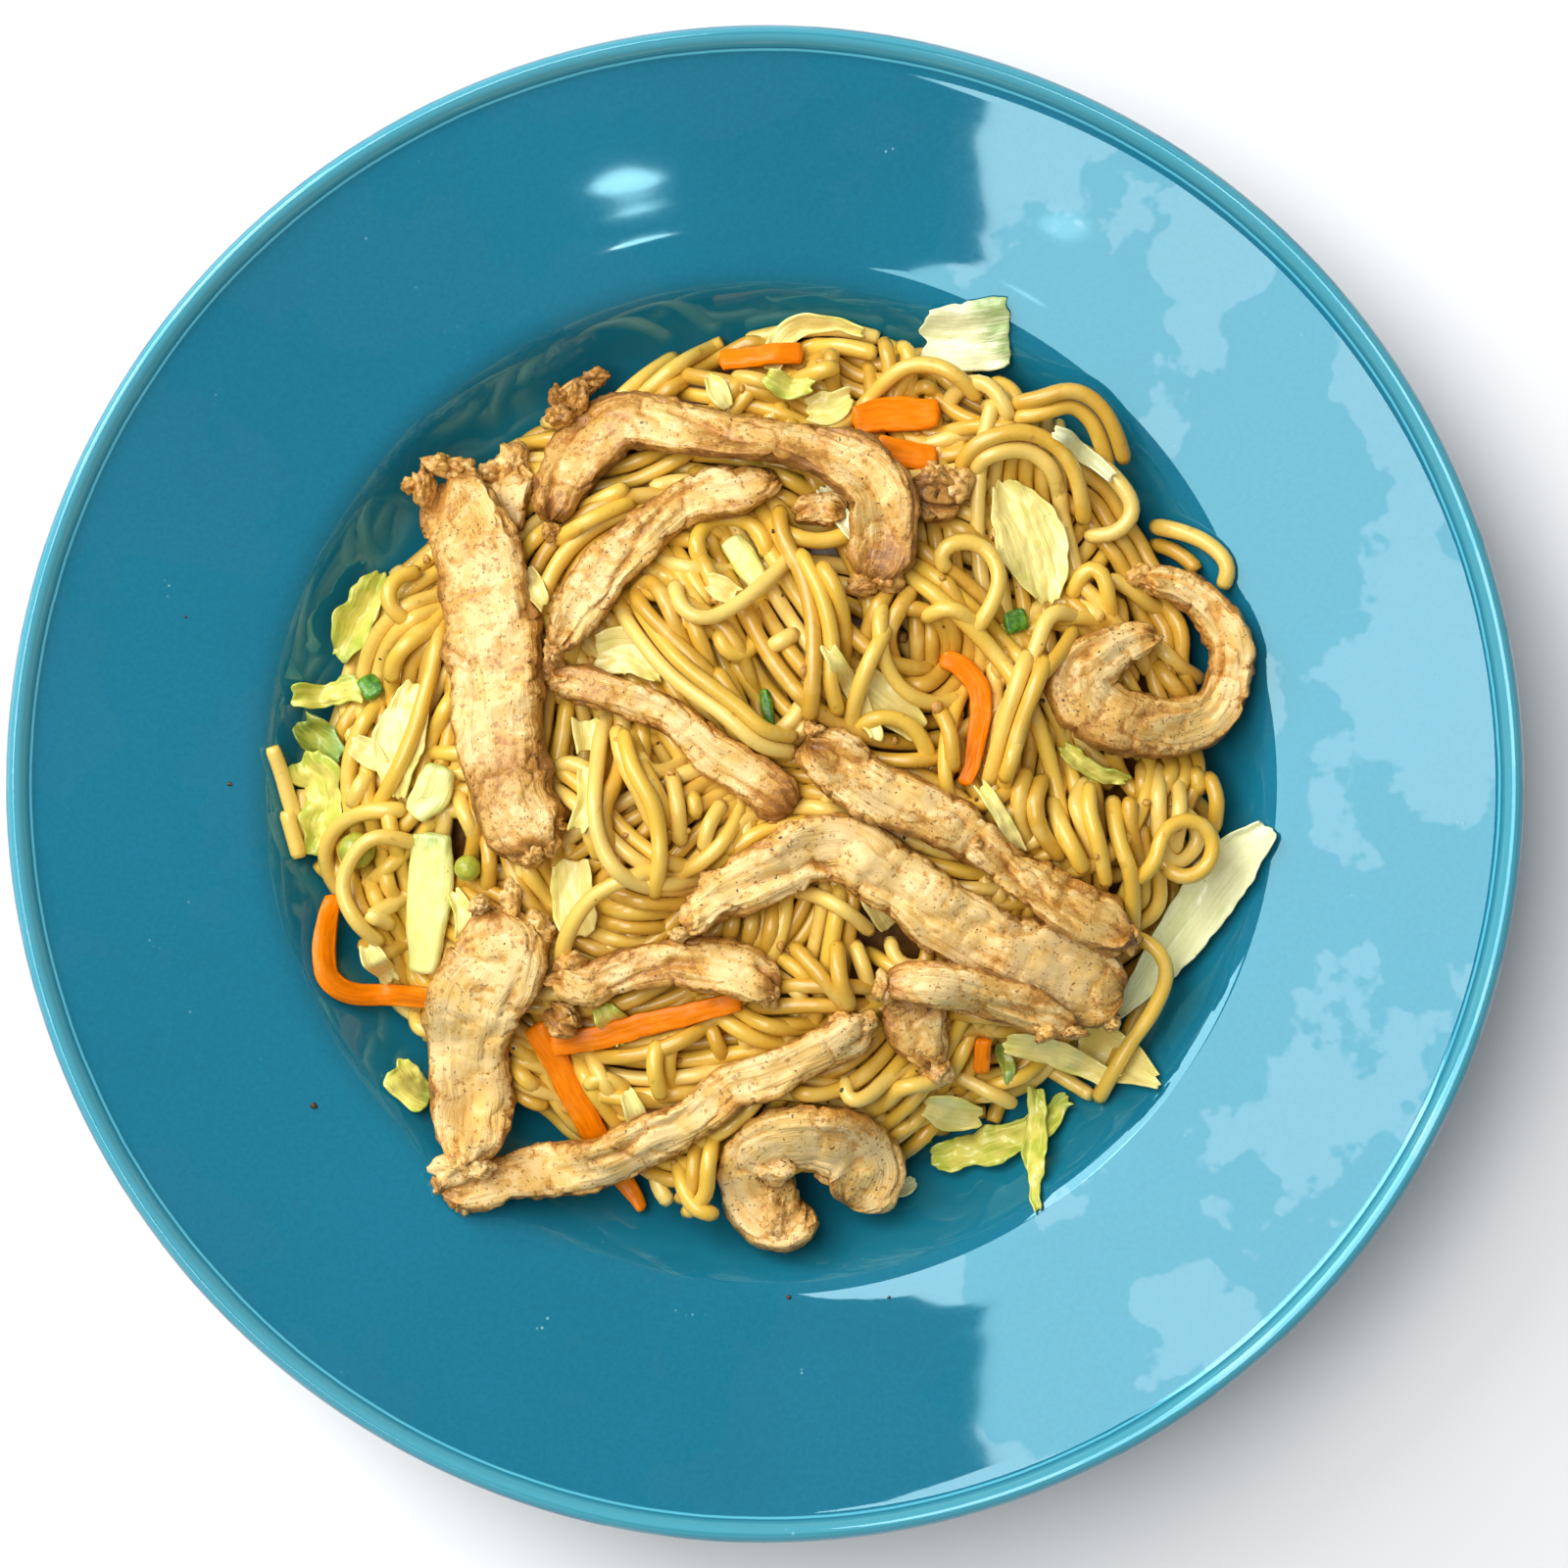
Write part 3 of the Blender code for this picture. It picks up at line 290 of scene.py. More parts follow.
# Noodles that cross over leaves, laid last: how many side by side, and their route.
OVER_ROUTES = (
    (2, (
        (-26.3, 36.7), (-24.5, 32.3), (-21.9, 27.9), (-15.8, 20.4), (-6.2, 13.1), (-0.4, 8.2), (5.5, 7),
    )),
    (1, (
        (21.7, 37.5), (20.3, 29.7), (20.9, 22.3), (24.7, 16.4), (30.6, 14.3), (36.2, 16.9),
        (38.8, 22.7), (37.6, 27.9), (32.7, 31.1), (27.8, 29.3),
    )),
    (1, ((14.2, 1.7), (14.6, 7.5), (18.1, 11.2), (23, 11.7), (27.1, 9.1), (29.6, 3.8))),
    (1, (
        (64.5, -27.1), (69.7, -29), (72.3, -34), (69.9, -41), (65.9, -47.1), (62.9, -52.4),
        (60.5, -57.9),
    )),
    (1, (
        (38.3, 68.9), (34.8, 72.4), (30.5, 74.7), (25.2, 74.7), (20, 70.7), (15.6, 66), (11.4, 63.4),
        (6, 63.5),
    )),
    (1, ((-16.1, 35.8), (-14.4, 30.7), (-10.2, 29), (-5, 31.4), (0.8, 36.3), (5.5, 41.9), (7.2, 48))),
    (1, ((-36.7, -32.3), (-34.5, -25.8), (-30.5, -20.1), (-24.5, -16.8), (-17.5, -14.7))),
    (1, ((-25.2, 9.6), (-23.1, 2.6), (-19.6, -3.8), (-18.4, -12.2), (-19.6, -20.1))),
    (1, (
        (-27.7, 15.4), (-29.4, 6.1), (-29.8, -5.2), (-27.8, -12.6), (-23.6, -17.1), (-16.7, -18.7),
        (-9.5, -16.8), (-4.8, -12), (-3.1, -6.1), (-4.1, 0.9),
    )),
    (1, ((-57.9, 35.8), (-58.4, 26.2), (-60.3, 17.5), (-62.6, 9.6), (-66.1, 1.7), (-70.2, -4.9))),
    (1, ((-64.3, -4.5), (-73.4, -5.4), (-79, -9.8), (-79.7, -16.1), (-75.5, -22.7), (-70.8, -27.6))),
    (1, ((-62, -10.8), (-69.2, -9.3), (-73.7, -12.9), (-75.7, -18.8), (-73, -24.8), (-69, -28.8))),
    (1, (
        (66.2, -17.5), (69.4, -14), (70.8, -9.1), (73.9, -6.6), (77.8, -7), (80.2, -10.1),
        (79.5, -14.3), (76.4, -16.6), (72.9, -16.1), (70.8, -12.9),
    )),
    (1, ((21.7, 27.9), (17.4, 19.2), (15.3, 10.5), (17.4, 1.7), (21.7, -2.6))),
)

# The shares of a strip's half width where the height of its solid is read.
ACROSS = np.linspace(-0.8, 0.8, 5)

# Chicken: thickness, how browned it is, and the stations of its route: x, y and width.
CHICKEN = {
    "chicken_bit_left": (5.5, 0.4, (
        (-46, 58.5, 4.5), (-46, 55, 8.5), (-45.5, 49.5, 5), (-45, 45.5, 3.5),
    )),
    "chicken_bit_centre": (6, 0.3, ((5.5, 48, 4), (9.5, 49, 6.5), (14.5, 48.5, 6.5))),
    "chicken_bit_right": (7, 0.5, ((26, 53, 6), (29.5, 51.5, 10.5), (34.5, 50.5, 8))),
    "chicken_bit_lower": (4.5, 0.4, ((-38, -40, 3.5), (-36, -42, 6.5), (-33.5, -43.5, 3.5))),
    "chicken_thin": (5.5, 0.6, (
        (-38, 19, 3.5), (-33, 17.5, 7), (-24.5, 15, 6.5), (-16, 11.5, 6.5), (-8, 5, 8), (-1, 0, 8.5),
        (5, -4.5, 10.5),
    )),
    "chicken_small_arch": (6.5, 0.55, (
        (-36.5, -33.5, 5), (-31.5, -35.5, 8), (-24.5, -33, 8.5), (-16, -31.5, 8.5), (-7, -32.5, 9.5),
        (-1, -35, 8.5), (2, -37, 5),
    )),
    "chicken_fork_leg": (6.5, 0.4, ((26, -36.5, 9.5), (27, -43.5, 11), (30.5, -50.5, 5.5))),
    "chicken_arch_large": (8, 0.25, (
        (-14, -25.5, 5), (-8, -20, 8), (-1, -16.5, 10.5), (7, -12, 11), (15.5, -12, 12),
        (23.5, -17.5, 12.5), (31.5, -23.5, 13), (40, -29, 15), (49.5, -33, 17.5), (58.5, -36, 17.5),
        (64.5, -37, 12),
    )),
    "chicken_fork": (5, 0.5, (
        (21.5, -35, 4.5), (27, -35, 7), (34, -36, 8.5), (42, -38.5, 8.5), (49, -41, 8), (55, -43, 4.5),
    )),
    "chicken_ridge": (7.5, 0.55, (
        (7, 7.5, 8), (13, 3.5, 11.5), (20, -1, 11), (28, -5, 10.5), (35.5, -8.5, 9.5), (41, -12.5, 7),
        (47, -17.5, 8.5), (55, -22, 10.5), (62, -25.5, 8.5), (66, -26.5, 2.5),
    )),
    "chicken_knot": (9, 0.25, (
        (14.5, -76.5, 11), (18.5, -70, 14), (14.5, -65, 14), (6, -63.5, 12), (-1.5, -66, 10),
        (-4, -71.5, 9), (-1.5, -77.5, 10), (3.5, -79, 11), (6.5, -75.5, 9),
    )),
    "chicken_long_bottom": (7, 0.4, (
        (-57.5, -72.5, 5), (-52.5, -72.5, 7.5), (-45.5, -70.5, 8), (-36.5, -70, 10), (-28, -68, 10),
        (-19.5, -63.5, 9.5), (-12.5, -60, 8), (-6, -54, 8.5), (1.5, -51.5, 8.5), (10.5, -47, 8.5),
        (15.5, -44, 8), (18, -42, 4),
    )),
    "chicken_lower_left": (8.5, 0.2, (
        (-48.5, -22.5, 12), (-47, -31.5, 18), (-51.5, -39.5, 17), (-53.5, -48, 14.5),
        (-53.5, -56.5, 14.5), (-53.5, -62, 13), (-54, -68, 10.5),
    )),
    "chicken_left_long": (9.5, 0.6, (
        (-57.5, 55, 13), (-53, 45.5, 16), (-50, 35, 17), (-48.5, 26, 17.5), (-48, 17.5, 17.5),
        (-47, 8.5, 17), (-46, 0, 16), (-42, -8, 14), (-39.5, -12, 8.5),
    )),
    "chicken_slant": (6.5, 0.42, (
        (-36.5, 24, 4.5), (-34, 29.5, 8), (-30.5, 35, 9.5), (-25, 41, 9.5), (-19, 47, 8), (-13, 51, 8),
        (-6, 52, 8.5), (0, 53.5, 6), (2.5, 54.5, 3),
    )),
    "chicken_arch_top": (8.5, 0.65, (
        (-38.5, 47, 7.5), (-36.5, 53, 9.5), (-33, 59.5, 11.5), (-27, 64.5, 11.5), (-21, 64.5, 10),
        (-10, 62.5, 9.5), (-1.5, 61.5, 8), (6.5, 60, 8.5), (14, 57.5, 11), (19.5, 52.5, 12),
        (21, 46, 12.5), (20.5, 40.5, 12), (19, 35.5, 8.5),
    )),
    "chicken_curl": (8.5, 0.5, (
        (68, 36.5, 5), (74, 35.5, 6), (80, 31.5, 7), (83.5, 24.5, 7), (82, 15.5, 8.5), (77, 10.5, 10.5),
        (68, 10, 12), (60.5, 12.5, 12.5), (56.5, 18.5, 12.5), (61, 23, 9.5), (67, 26, 6.5),
        (70, 26.5, 3.5),
    )),
    "chicken_knob_dark": (4.5, 1, ((-31.5, 73, 3.5), (-34.5, 71.5, 4.5), (-38, 69.5, 3.5))),
}

# Browned knobs at a strip's torn ends: x, y and size.
MEAT_KNOBS = {
    "chicken_left_long": (
        (-64, 53.8, 4.5), (-61.5, 53, 6.5), (-59, 57.5, 5.5), (-55.5, 56.8, 5), (-52.8, 53.5, 4),
        (-41, -12.5, 6.5), (-38, -10.5, 5.5), (-44, -10.8, 5), (-37.5, -7, 4),
    ),
    "chicken_bit_left": ((-45.5, 57.5, 6.5), (-43.5, 53, 5), (-46.5, 48, 4.5), (-50, 56, 4)),
    "chicken_arch_top": (
        (-36.8, 66, 5.5), (-33.5, 69.5, 5), (-38, 45, 5), (17.5, 35, 5), (21.5, 36.5, 4.5),
    ),
    "chicken_slant": ((-37, 23.5, 4), (-34.5, 26, 4)),
    "chicken_bit_right": ((34, 53, 5), (30, 55, 5.5), (27, 50.5, 4.5)),
    "chicken_thin": ((-38, 20.5, 4.5), (-35.5, 18, 5)),
    "chicken_ridge": ((8.5, 9.5, 4.5), (65, -28, 4), (60.5, -28.5, 4.5), (36.5, -10.5, 6)),
    "chicken_arch_large": ((-15, -26.5, 4.5), (-9, -18, 4.5), (2, -13, 5), (62, -43, 5)),
    "chicken_lower_left": (
        (-45, -20.5, 6.5), (-50.5, -21.5, 5.5), (-40.5, -26, 6), (-56, -68.5, 6), (-51, -69, 5.5),
    ),
    "chicken_long_bottom": ((-58.5, -72, 4.5), (-54.5, -74, 5), (17, -42.5, 5), (14, -42, 4.5)),
    "chicken_small_arch": ((-37, -35, 4.5), (-34.5, -32.5, 5), (1, -37.5, 4.5)),
    "chicken_fork": ((21, -36, 4.5), (54.5, -44, 4), (50, -43.5, 4.5)),
    "chicken_fork_leg": ((31, -51.5, 4.5), (24, -40, 5.5)),
    "chicken_knot": ((3, -76.5, 10.5), (12.5, -70.5, 6.5), (1, -69, 6)),
    "chicken_curl": ((67.5, 37.5, 4), (69.5, 26, 4), (57.5, 13.5, 6.5)),
    "chicken_knob_dark": ((-31, 73.8, 4), (-37.5, 70, 4.5)),
}

# How far a strip's edge wanders, as a share of its width, how far its ends fray, its creases,
# and how far its face leans to one side.
MEAT_EDGE = 0.16
MEAT_FRAY = 2.6
MEAT_CREASE = 0.6
MEAT_GROOVE = 1.1
MEAT_LEAN = 0.8
MEAT_CROWN = 0.28
# How deep a strip's relief is: lumps, crags and fibres on its face, and more lumps and crags on its rim.
MEAT_LUMPS = 0.24
MEAT_CRAGS = 0.03
MEAT_FIBRES = 0.36
RIM_LUMPS = 0.4
RIM_CRAGS = 0.42
# The size of the lumps and crags, and the length and width of the fibres and creases.
LUMP_SIZE = 5.5
CRAG_SIZE = 1.9
FIBRE_SIZE = (15.0, 1.8)
CREASE_SIZE = (7.0, 14.0)
CREASE_WIDTH = 0.05
GROOVE_WIDTH = 0.13

# Carrot shreds: the stations of each route, x, y and width. The power makes their edges square.
CARROT_THICKNESS = 2.2
CARROT_SQUARE = 0.42
CARROT = {
    "carrot_top": ((-8.5, 76.5, 4), (-1, 77.5, 4), (7, 78, 4)),
    "carrot_arch_a": ((15.5, 65, 5), (23.5, 66.5, 6.5), (31.5, 66.5, 5)),
    "carrot_arch_b": ((19.5, 60.5, 4.5), (25, 59, 5), (31, 58.5, 4)),
    "carrot_right": ((31, 22.5, 3), (35.5, 20.5, 4), (38.5, 15, 4), (37.5, 7, 3.5), (35.5, -0.5, 2.5)),
    "carrot_left": (
        (-78.5, -20, 3), (-80, -28, 4), (-79.5, -34, 4), (-75.5, -38, 4), (-66.5, -38.5, 4),
        (-59.5, -39, 4),
    ),
    "carrot_lower_a": (
        (-41.5, -43, 4.5), (-36.5, -52.5, 5), (-31, -64, 5), (-26.5, -72, 4), (-22, -78, 2),
    ),
    "carrot_lower_b": ((-38.5, -47, 4), (-26.5, -44.5, 4.5), (-14, -41, 4), (-4, -38.5, 3.5)),
    "carrot_small": ((39.5, -45.5, 3), (39, -52.5, 3)),
}

# Cabbage leaves with their finish, and the stalks. Each station is x, y and width.
LEAF_LIFT = 0.4
LEAF_THICKNESS = 0.5
STALK_THICKNESS = 3.4
STALK_SQUARE = 0.8
# Each kind: how ruffled it is, how far its sides are cupped, and how green its far end is.
LEAF_SHAPE = {
    "white": (0.15, 0.9, 0.9),
    "clear": (0.1, 1.6, 0),
    "pale": (0.2, 1.1, 0.2),
    "green": (0.9, 0.4, 0.5),
    "dark": (0.8, 0.4, 1),
}
# Each kind: its colour, its greener colour, and how much of it is green.
LEAF_FINISH = {
    "white": ((0.84, 0.84, 0.48), (0.5, 0.62, 0.28), 0.2),
    "clear": ((0.86, 0.86, 0.5), (0.7, 0.76, 0.36), 0.3),
    "pale": ((0.88, 0.73, 0.24), (0.74, 0.67, 0.14), 0.35),
    "green": ((0.76, 0.68, 0.14), (0.5, 0.55, 0.06), 0.5),
    "dark": ((0.4, 0.42, 0.05), (0.18, 0.24, 0.02), 0.5),
    "stalk": ((0.9, 0.86, 0.28), (0.76, 0.78, 0.17), 0.3),
}
LEAF = {
    "cabbage_leaf_top_right": ("white", ((28.5, 81, 8.5), (35.5, 80.5, 12.5), (44, 81.5, 12))),
    "cabbage_curl_top": ("pale", (
        (1, 74.5, 3), (2.5, 79.5, 5), (5.5, 83, 4), (12, 83.5, 2.5), (17.5, 82, 1.5),
    )),
    "cabbage_chip_top": ("pale", ((7, 67, 4), (11.5, 67.5, 6.5), (15.5, 69.5, 3.5))),
    "cabbage_pale_right": ("pale", ((42.5, 54, 4), (46, 47, 12), (49, 39.5, 11.5), (50.5, 32.5, 4))),
    "cabbage_long_right": ("clear", (
        (91, -7.5, 4), (84.5, -14, 9), (77.5, -24.5, 9.5), (70.5, -34, 7), (64, -42, 2),
    )),
    "cabbage_lower_right": ("pale", ((57, -45.5, 7), (62.5, -49, 10), (71, -53.5, 2.5))),
    "cabbage_shred_lower_right": ("pale", ((43.5, -46.5, 4), (53, -49, 5), (63, -54, 3.5))),
    "cabbage_green_a": ("green", ((30.5, -69, 4.5), (40, -66.5, 6.5), (49, -63, 5), (55.5, -57.5, 3))),
    "cabbage_green_b": ("green", ((49.5, -55, 3), (49, -66.5, 4), (49, -77, 1))),
    "cabbage_chip_bottom": ("pale", ((29, -58, 4), (34, -60, 7), (39.5, -61, 4))),
    "cabbage_left_large": ("pale", ((-62, 18, 5), (-65, 9.5, 9.5), (-66, 3.5, 8), (-65.5, -2.5, 2))),
    "cabbage_frill_upper": ("green", ((-70, 38.5, 4), (-73, 33, 7), (-76, 27, 6.5), (-77, 22.5, 4))),
    "cabbage_strip_left": ("green", ((-85.5, 16, 4), (-78.5, 16, 5), (-73, 17.5, 5))),
    "cabbage_green_left": ("dark", ((-84, 11.5, 4), (-80.5, 8, 6.5), (-76.5, 5, 3))),
    "cabbage_frill_lower": ("green", (
        (-83.5, 4.5, 7), (-80.5, 0, 8), (-80.5, -7, 6.5), (-82.5, -13.5, 5),
    )),
    "cabbage_mid": ("pale", ((-30, 23, 7), (-23.5, 23.5, 8.5), (-18, 19, 3))),
    "cabbage_chip_mid": ("pale", ((-32, 11.5, 5), (-31.5, 5.5, 4))),
    "cabbage_mid_lower": ("pale", ((-34.5, -13.5, 6.5), (-34, -21, 8), (-33, -27, 6))),
    "cabbage_low_left": ("green", ((-67.5, -51, 4.5), (-64.5, -55, 6.5), (-61, -57.5, 5))),
    "cabbage_centre_right": ("pale", ((15.5, 19.5, 5), (21, 15, 8), (27.5, 9.5, 4.5))),
    "cabbage_under_curl": ("green", ((53, 6.5, 2.5), (58.5, 2.5, 3.5), (65, 0.5, 1.5))),
}
STALK = {
    "cabbage_stalk_left": ((-59.5, -8.5, 7), (-60, -17.5, 8.5), (-61, -26, 7.5), (-62, -34.5, 5)),
    "cabbage_chunk_left": ((-57.5, 3.5, 5), (-59.5, -1.5, 7), (-63, -6, 4)),
    "cabbage_stalk_centre": ((-6.5, 44, 4), (-3.5, 39.5, 5), (-0.5, 34.5, 3.5)),
}
# Small leaf shreds among the noodles.
SHRED_REACH = 1.2
SHREDS = (
    ("pale", ((-74, 7.5, 3.5), (-71, 5.5, 5), (-68.5, 3, 3))),
    ("pale", ((-71.5, -28.5, 3), (-70, -32, 4.5), (-68, -36, 3))),
    ("pale", ((-56, -19, 2.5), (-54, -23, 3.5), (-54.5, -28, 2))),
    ("clear", ((21.5, -72.5, 2.5), (24.5, -74, 3.5), (27.5, -73, 2.5))),
    ("pale", ((-10, 73, 2), (-8.5, 70.5, 4), (-6.5, 67, 2.5))),
    ("pale", ((-10, 36, 3), (-7.5, 34.5, 4.5), (-4.5, 33, 3))),
    ("pale", ((-42.5, 38.5, 2.5), (-41, 35, 4), (-39, 31.5, 2.5))),
    ("green", ((-29, -39.5, 3.5), (-27, -43, 5), (-25.5, -46.5, 3))),
    ("pale", ((-24.5, -55, 2.5), (-23, -59.5, 4), (-21, -63, 2.5))),
    ("dark", ((42.5, -47.5, 1.8), (43.8, -50.5, 2.6), (44, -54, 1.8))),
    ("pale", ((17, -14, 2.5), (19, -19.5, 5), (22.5, -25.5, 4))),
    ("clear", ((10, 53, 2.5), (14, 47, 3.5), (18, 42, 2.5))),
    ("pale", ((11, 24, 2.5), (16, 16, 3.5), (20, 8, 2.5))),
    ("pale", ((-31.5, 3, 3), (-31, -3, 4.5), (-33, -8, 3))),
    ("clear", ((51, 62.5, 2), (56, 60, 3.2), (62, 55, 2))),
    ("pale", ((38, 0, 2), (42, -6, 3), (45.5, -12, 2))),
    ("green", ((0, 73, 3), (4, 71, 4.5), (8.5, 71.5, 3))),
)
SCALLION_THICKNESS = 1.6
SCALLION_SQUARE = 0.7
SCALLION = {
    "scallion_left": ((-72.5, 19.5, 3.5), (-70, 15.5, 4)),
    "scallion_right": ((42.5, 28.5, 4), (47, 29.5, 4)),
    "scallion_centre": ((0, 17, 1.5), (0.5, 14, 2.2), (1, 10, 1.5)),
}
PEAS = ("pea_left", "pea_stalk")
PEA_DIMPLE = (0.5, 0.4, 0.75)

# Crumbs on the food: how many, and their smallest and largest size. Specks on the rim: x, y and size.
CRUMBS = {"garlic": (70, 0.9, 2.1), "pepper": (60, 0.45, 0.9)}
RIM_SPECKS = (
    (-81.2, -57.8, 1.6), (-96.4, 0, 0.9), (4.3, -92.5, 0.9), (22.3, -92.5, 0.8), (-104, 30, 0.6),
)

# Colours that the sidebar doesn't show.
GLAZE_TINT = (0.45, 0.88, 1.0, 1.0)
GROOVE_COLOUR = (0.012, 0.2, 0.27)
DRIED_COLOUR = (0.25, 0.5, 0.55)
CLAY_COLOUR = (0.55, 0.47, 0.38)
NOODLE_BROWN = (0.42, 0.2, 0.02)
NOODLE_SPECK = (0.12, 0.06, 0.02)
MEAT_CRISP = (0.46, 0.19, 0.022)
MEAT_CHAR = (0.20, 0.075, 0.011)
MEAT_DOT = (0.36, 0.15, 0.03)
PEPPER_DOT = (0.06, 0.03, 0.012)
CARROT_PALE = (0.9, 0.32, 0.02)
CARROT_CHAR = (0.35, 0.04, 0.004)
LEAF_GREEN = (0.26, 0.42, 0.10)
LEAF_BROWN = (0.45, 0.3, 0.05)
FLOOR_COLOURS = ((0.86, 0.86, 0.865), (0.89, 0.89, 0.895))
# Mottled finishes: the colour, its darker shade, the size of the mottling and the roughness.
PLAIN_FINISH = {
    # The core's dark colour is painted shade, standing for the shaded noodles deep in the heap.
    "noodle_shade_core": ((0.25, 0.11, 0.01), (0.13, 0.05, 0.005), 3.0, 0.4),
    "green_onion": ((0.13, 0.34, 0.015), (0.03, 0.14, 0.006), 1.6, 0.35),
    "pea_skin": ((0.46, 0.47, 0.045), (0.33, 0.36, 0.03), 2.2, 0.3),
    "fried_garlic": ((0.66, 0.36, 0.06), (0.42, 0.18, 0.02), 0.8, 0.4),
    "pepper_crumb": ((0.10, 0.05, 0.02), (0.04, 0.02, 0.008), 0.5, 0.5),
}

# Stage, in metres: the camera's frame at the rim, the large light whose mirror image lies on the
# rim, the side light, and two small lamps that give the glints.
FLOOR_SIZE = 6.0
RIM_TOP = 0.035
FRAME_WIDTH = 0.2792
CAMERA_EAST = 0.0034
SENSOR_WIDTH = 36.0
NEAREST_SEEN = 0.01
LIGHT_PLACE = (-0.467, 0.3, 1.2)
LIGHT_SIZE = (0.80, 1.2)
SIDE_LIGHT_PLACE = (-1.15, 0.95, 1.0)
SIDE_LIGHT_SIZE = (0.9, 0.9)
SIDE_LIGHT_SHARE = 1.2
LAMP_PLACES = ((0.0325, -0.167, 1.2), (-0.084, -0.146, 1.15))
LAMP_SIZES = ((0.020, 0.011), (0.014, 0.009))
LAMP_SHARES = (0.0004, 0.00006)
ROOM_LIGHT = 0.30
ROOM_COLOUR = (0.95, 0.97, 1.0, 1.0)


def profile_height(radius):
    """Height of the plate's upper face at a distance from its axis."""
    return np.interp(radius, [p[0] for p in PLATE_TOP], [p[1] for p in PLATE_TOP])


def heap_outline(angle):
    """Radius of the heap's foot at an angle, eased between the stations of its outline."""
    place = (np.asarray(angle) / (2 * math.pi) * len(HEAP_OUTLINE)) % len(HEAP_OUTLINE)
    before = np.floor(place).astype(int) % len(HEAP_OUTLINE)
    share = place - np.floor(place)
    ease = share * share * (3 - 2 * share)
    radii = np.array(HEAP_OUTLINE)
    return radii[before] * (1 - ease) + radii[(before + 1) % len(HEAP_OUTLINE)] * ease


def heap_height(x, y):
    """Height of the heap's solid, and below the plate's face outside the heap."""
    east = np.asarray(x, float) - HEAP_CENTRE[0]
    north = np.asarray(y, float) - HEAP_CENTRE[1]
    outline = heap_outline(np.arctan2(north, east))
    share = np.hypot(east, north) / outline
    foot = profile_height(outline) + UNDERSIDE_GAP
    dome = np.sqrt(np.clip(1 - share**HEAP_SHAPE, 0, 1))
    bumps = np.sin(east / 9.0 + 1.3) * np.sin(north / 8.0 + 0.4) + 0.6 * np.sin((east + north) / 13.0)
    height = foot + (HEAP_CROWN - foot) * dome + HEAP_UNEVENNESS * bumps * dome
    return np.where(share < 1, height, 0.0)


def spline_route(stations, count):
    """Evenly spaced samples of a smooth route: its points, the other column, directions, length."""
    known = np.array(stations, float)
    ends = np.vstack([2 * known[0] - known[1], known, 2 * known[-1] - known[-2]])
    dense = []
    for i in range(len(known) - 1):
        a, b, c, d = ends[i : i + 4]
        t = np.linspace(0, 1, 20, endpoint=False)[:, None]
        dense.append(
            0.5 * (2 * b + (c - a) * t + (2 * a - 5 * b + 4 * c - d) * t**2 + (3 * b - a - 3 * c + d) * t**3)
        )
    dense = np.vstack(dense + [known[-1:]])
    length = np.concatenate([[0], np.cumsum(np.hypot(*np.diff(dense[:, :2], axis=0).T))])
    wanted = np.linspace(0, length[-1], count)
    route = np.stack([np.interp(wanted, length, dense[:, k]) for k in range(known.shape[1])], axis=1)
    ahead = np.gradient(route[:, :2], axis=0)
    ahead /= np.maximum(np.linalg.norm(ahead, axis=1), 1e-9)[:, None]
    return route[:, :2], route[:, 2:].ravel(), ahead, length[-1]


def uneven(places, octaves=2):
    """Smooth noise of about -1 to 1 at each place."""
    return np.array([noise.fractal(Vector(place), 1.0, 2.0, octaves) for place in places])


def uneven_at(x, y, z, octaves=2):
    """Smooth noise at places given as columns, or as single numbers where they share one."""
    return uneven(np.column_stack(np.broadcast_arrays(x, y, z)), octaves)


class Relief:
    """Heights over a square grid of the plate, in millimetres."""

    def __init__(self, heights):
        self.heights = heights

    @staticmethod
    def sides():
        """The grid's x and y at each cell."""
        side = np.arange(-GRID_HALF, GRID_HALF + CELL / 2, CELL)
        return np.meshgrid(side, side)

    @staticmethod
    def cells(spots):
        """Rows and columns of the cells at these spots."""
        last = int(2 * GRID_HALF / CELL)
        index = np.rint((np.asarray(spots) + GRID_HALF) / CELL).astype(int)
        index = np.clip(index, 0, last)
        return index[..., 1], index[..., 0]

    def read(self, spots, reach=0.0, lowest=False):
        """The highest, or the lowest, within reach of each spot."""
        if reach == 0.0:
            return self.heights[self.cells(spots)]
        turns = np.arange(8) * math.pi / 4
        steps = [(0.0, 0.0)] + [(math.cos(a) * reach, math.sin(a) * reach) for a in turns]
        near = np.array([self.heights[self.cells(spots + np.array(step))] for step in steps])
        return near.min(axis=0) if lowest else near.max(axis=0)

    def stamp(self, path, radius):
        """Raises the grid to the top of a round strand."""
        reach = int(radius / CELL)
        for i in range(-reach, reach + 1):
            for j in range(-reach, reach + 1):
                away = math.hypot(i, j) * CELL
                if away < radius:
                    row, column = self.cells(path[:, :2] + np.array((i, j)) * CELL)
                    np.maximum.at(self.heights, (row, column), path[:, 2] + math.sqrt(radius**2 - away**2))


def blurred(grid, reach):
    """A grid averaged over a square reach, in cells."""
    result = grid
    for axis in (0, 1):
        total = np.zeros_like(result)
        for step in range(-reach, reach + 1):
            total += np.roll(result, step, axis)
        result = total / (2 * reach + 1)
    return result


def node_tree(node):
    """The solid of a node, in millimetres, for rays."""
    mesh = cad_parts[node].data
    places = [vertex.co / MM for vertex in mesh.vertices]
    return BVHTree.FromPolygons(places, [face.vertices[:] for face in mesh.polygons])


def node_faces(tree, x, y):
    """The heights of a solid's underside and of its top at a spot, or None beside it."""
    under = tree.ray_cast(Vector((x, y, -5.0)), Vector((0, 0, 1)))[0]
    if under is None:
        return None
    top = tree.ray_cast(Vector((x, y, 99.0)), Vector((0, 0, -1)))[0]
    return under.z, (under if top is None else top).z


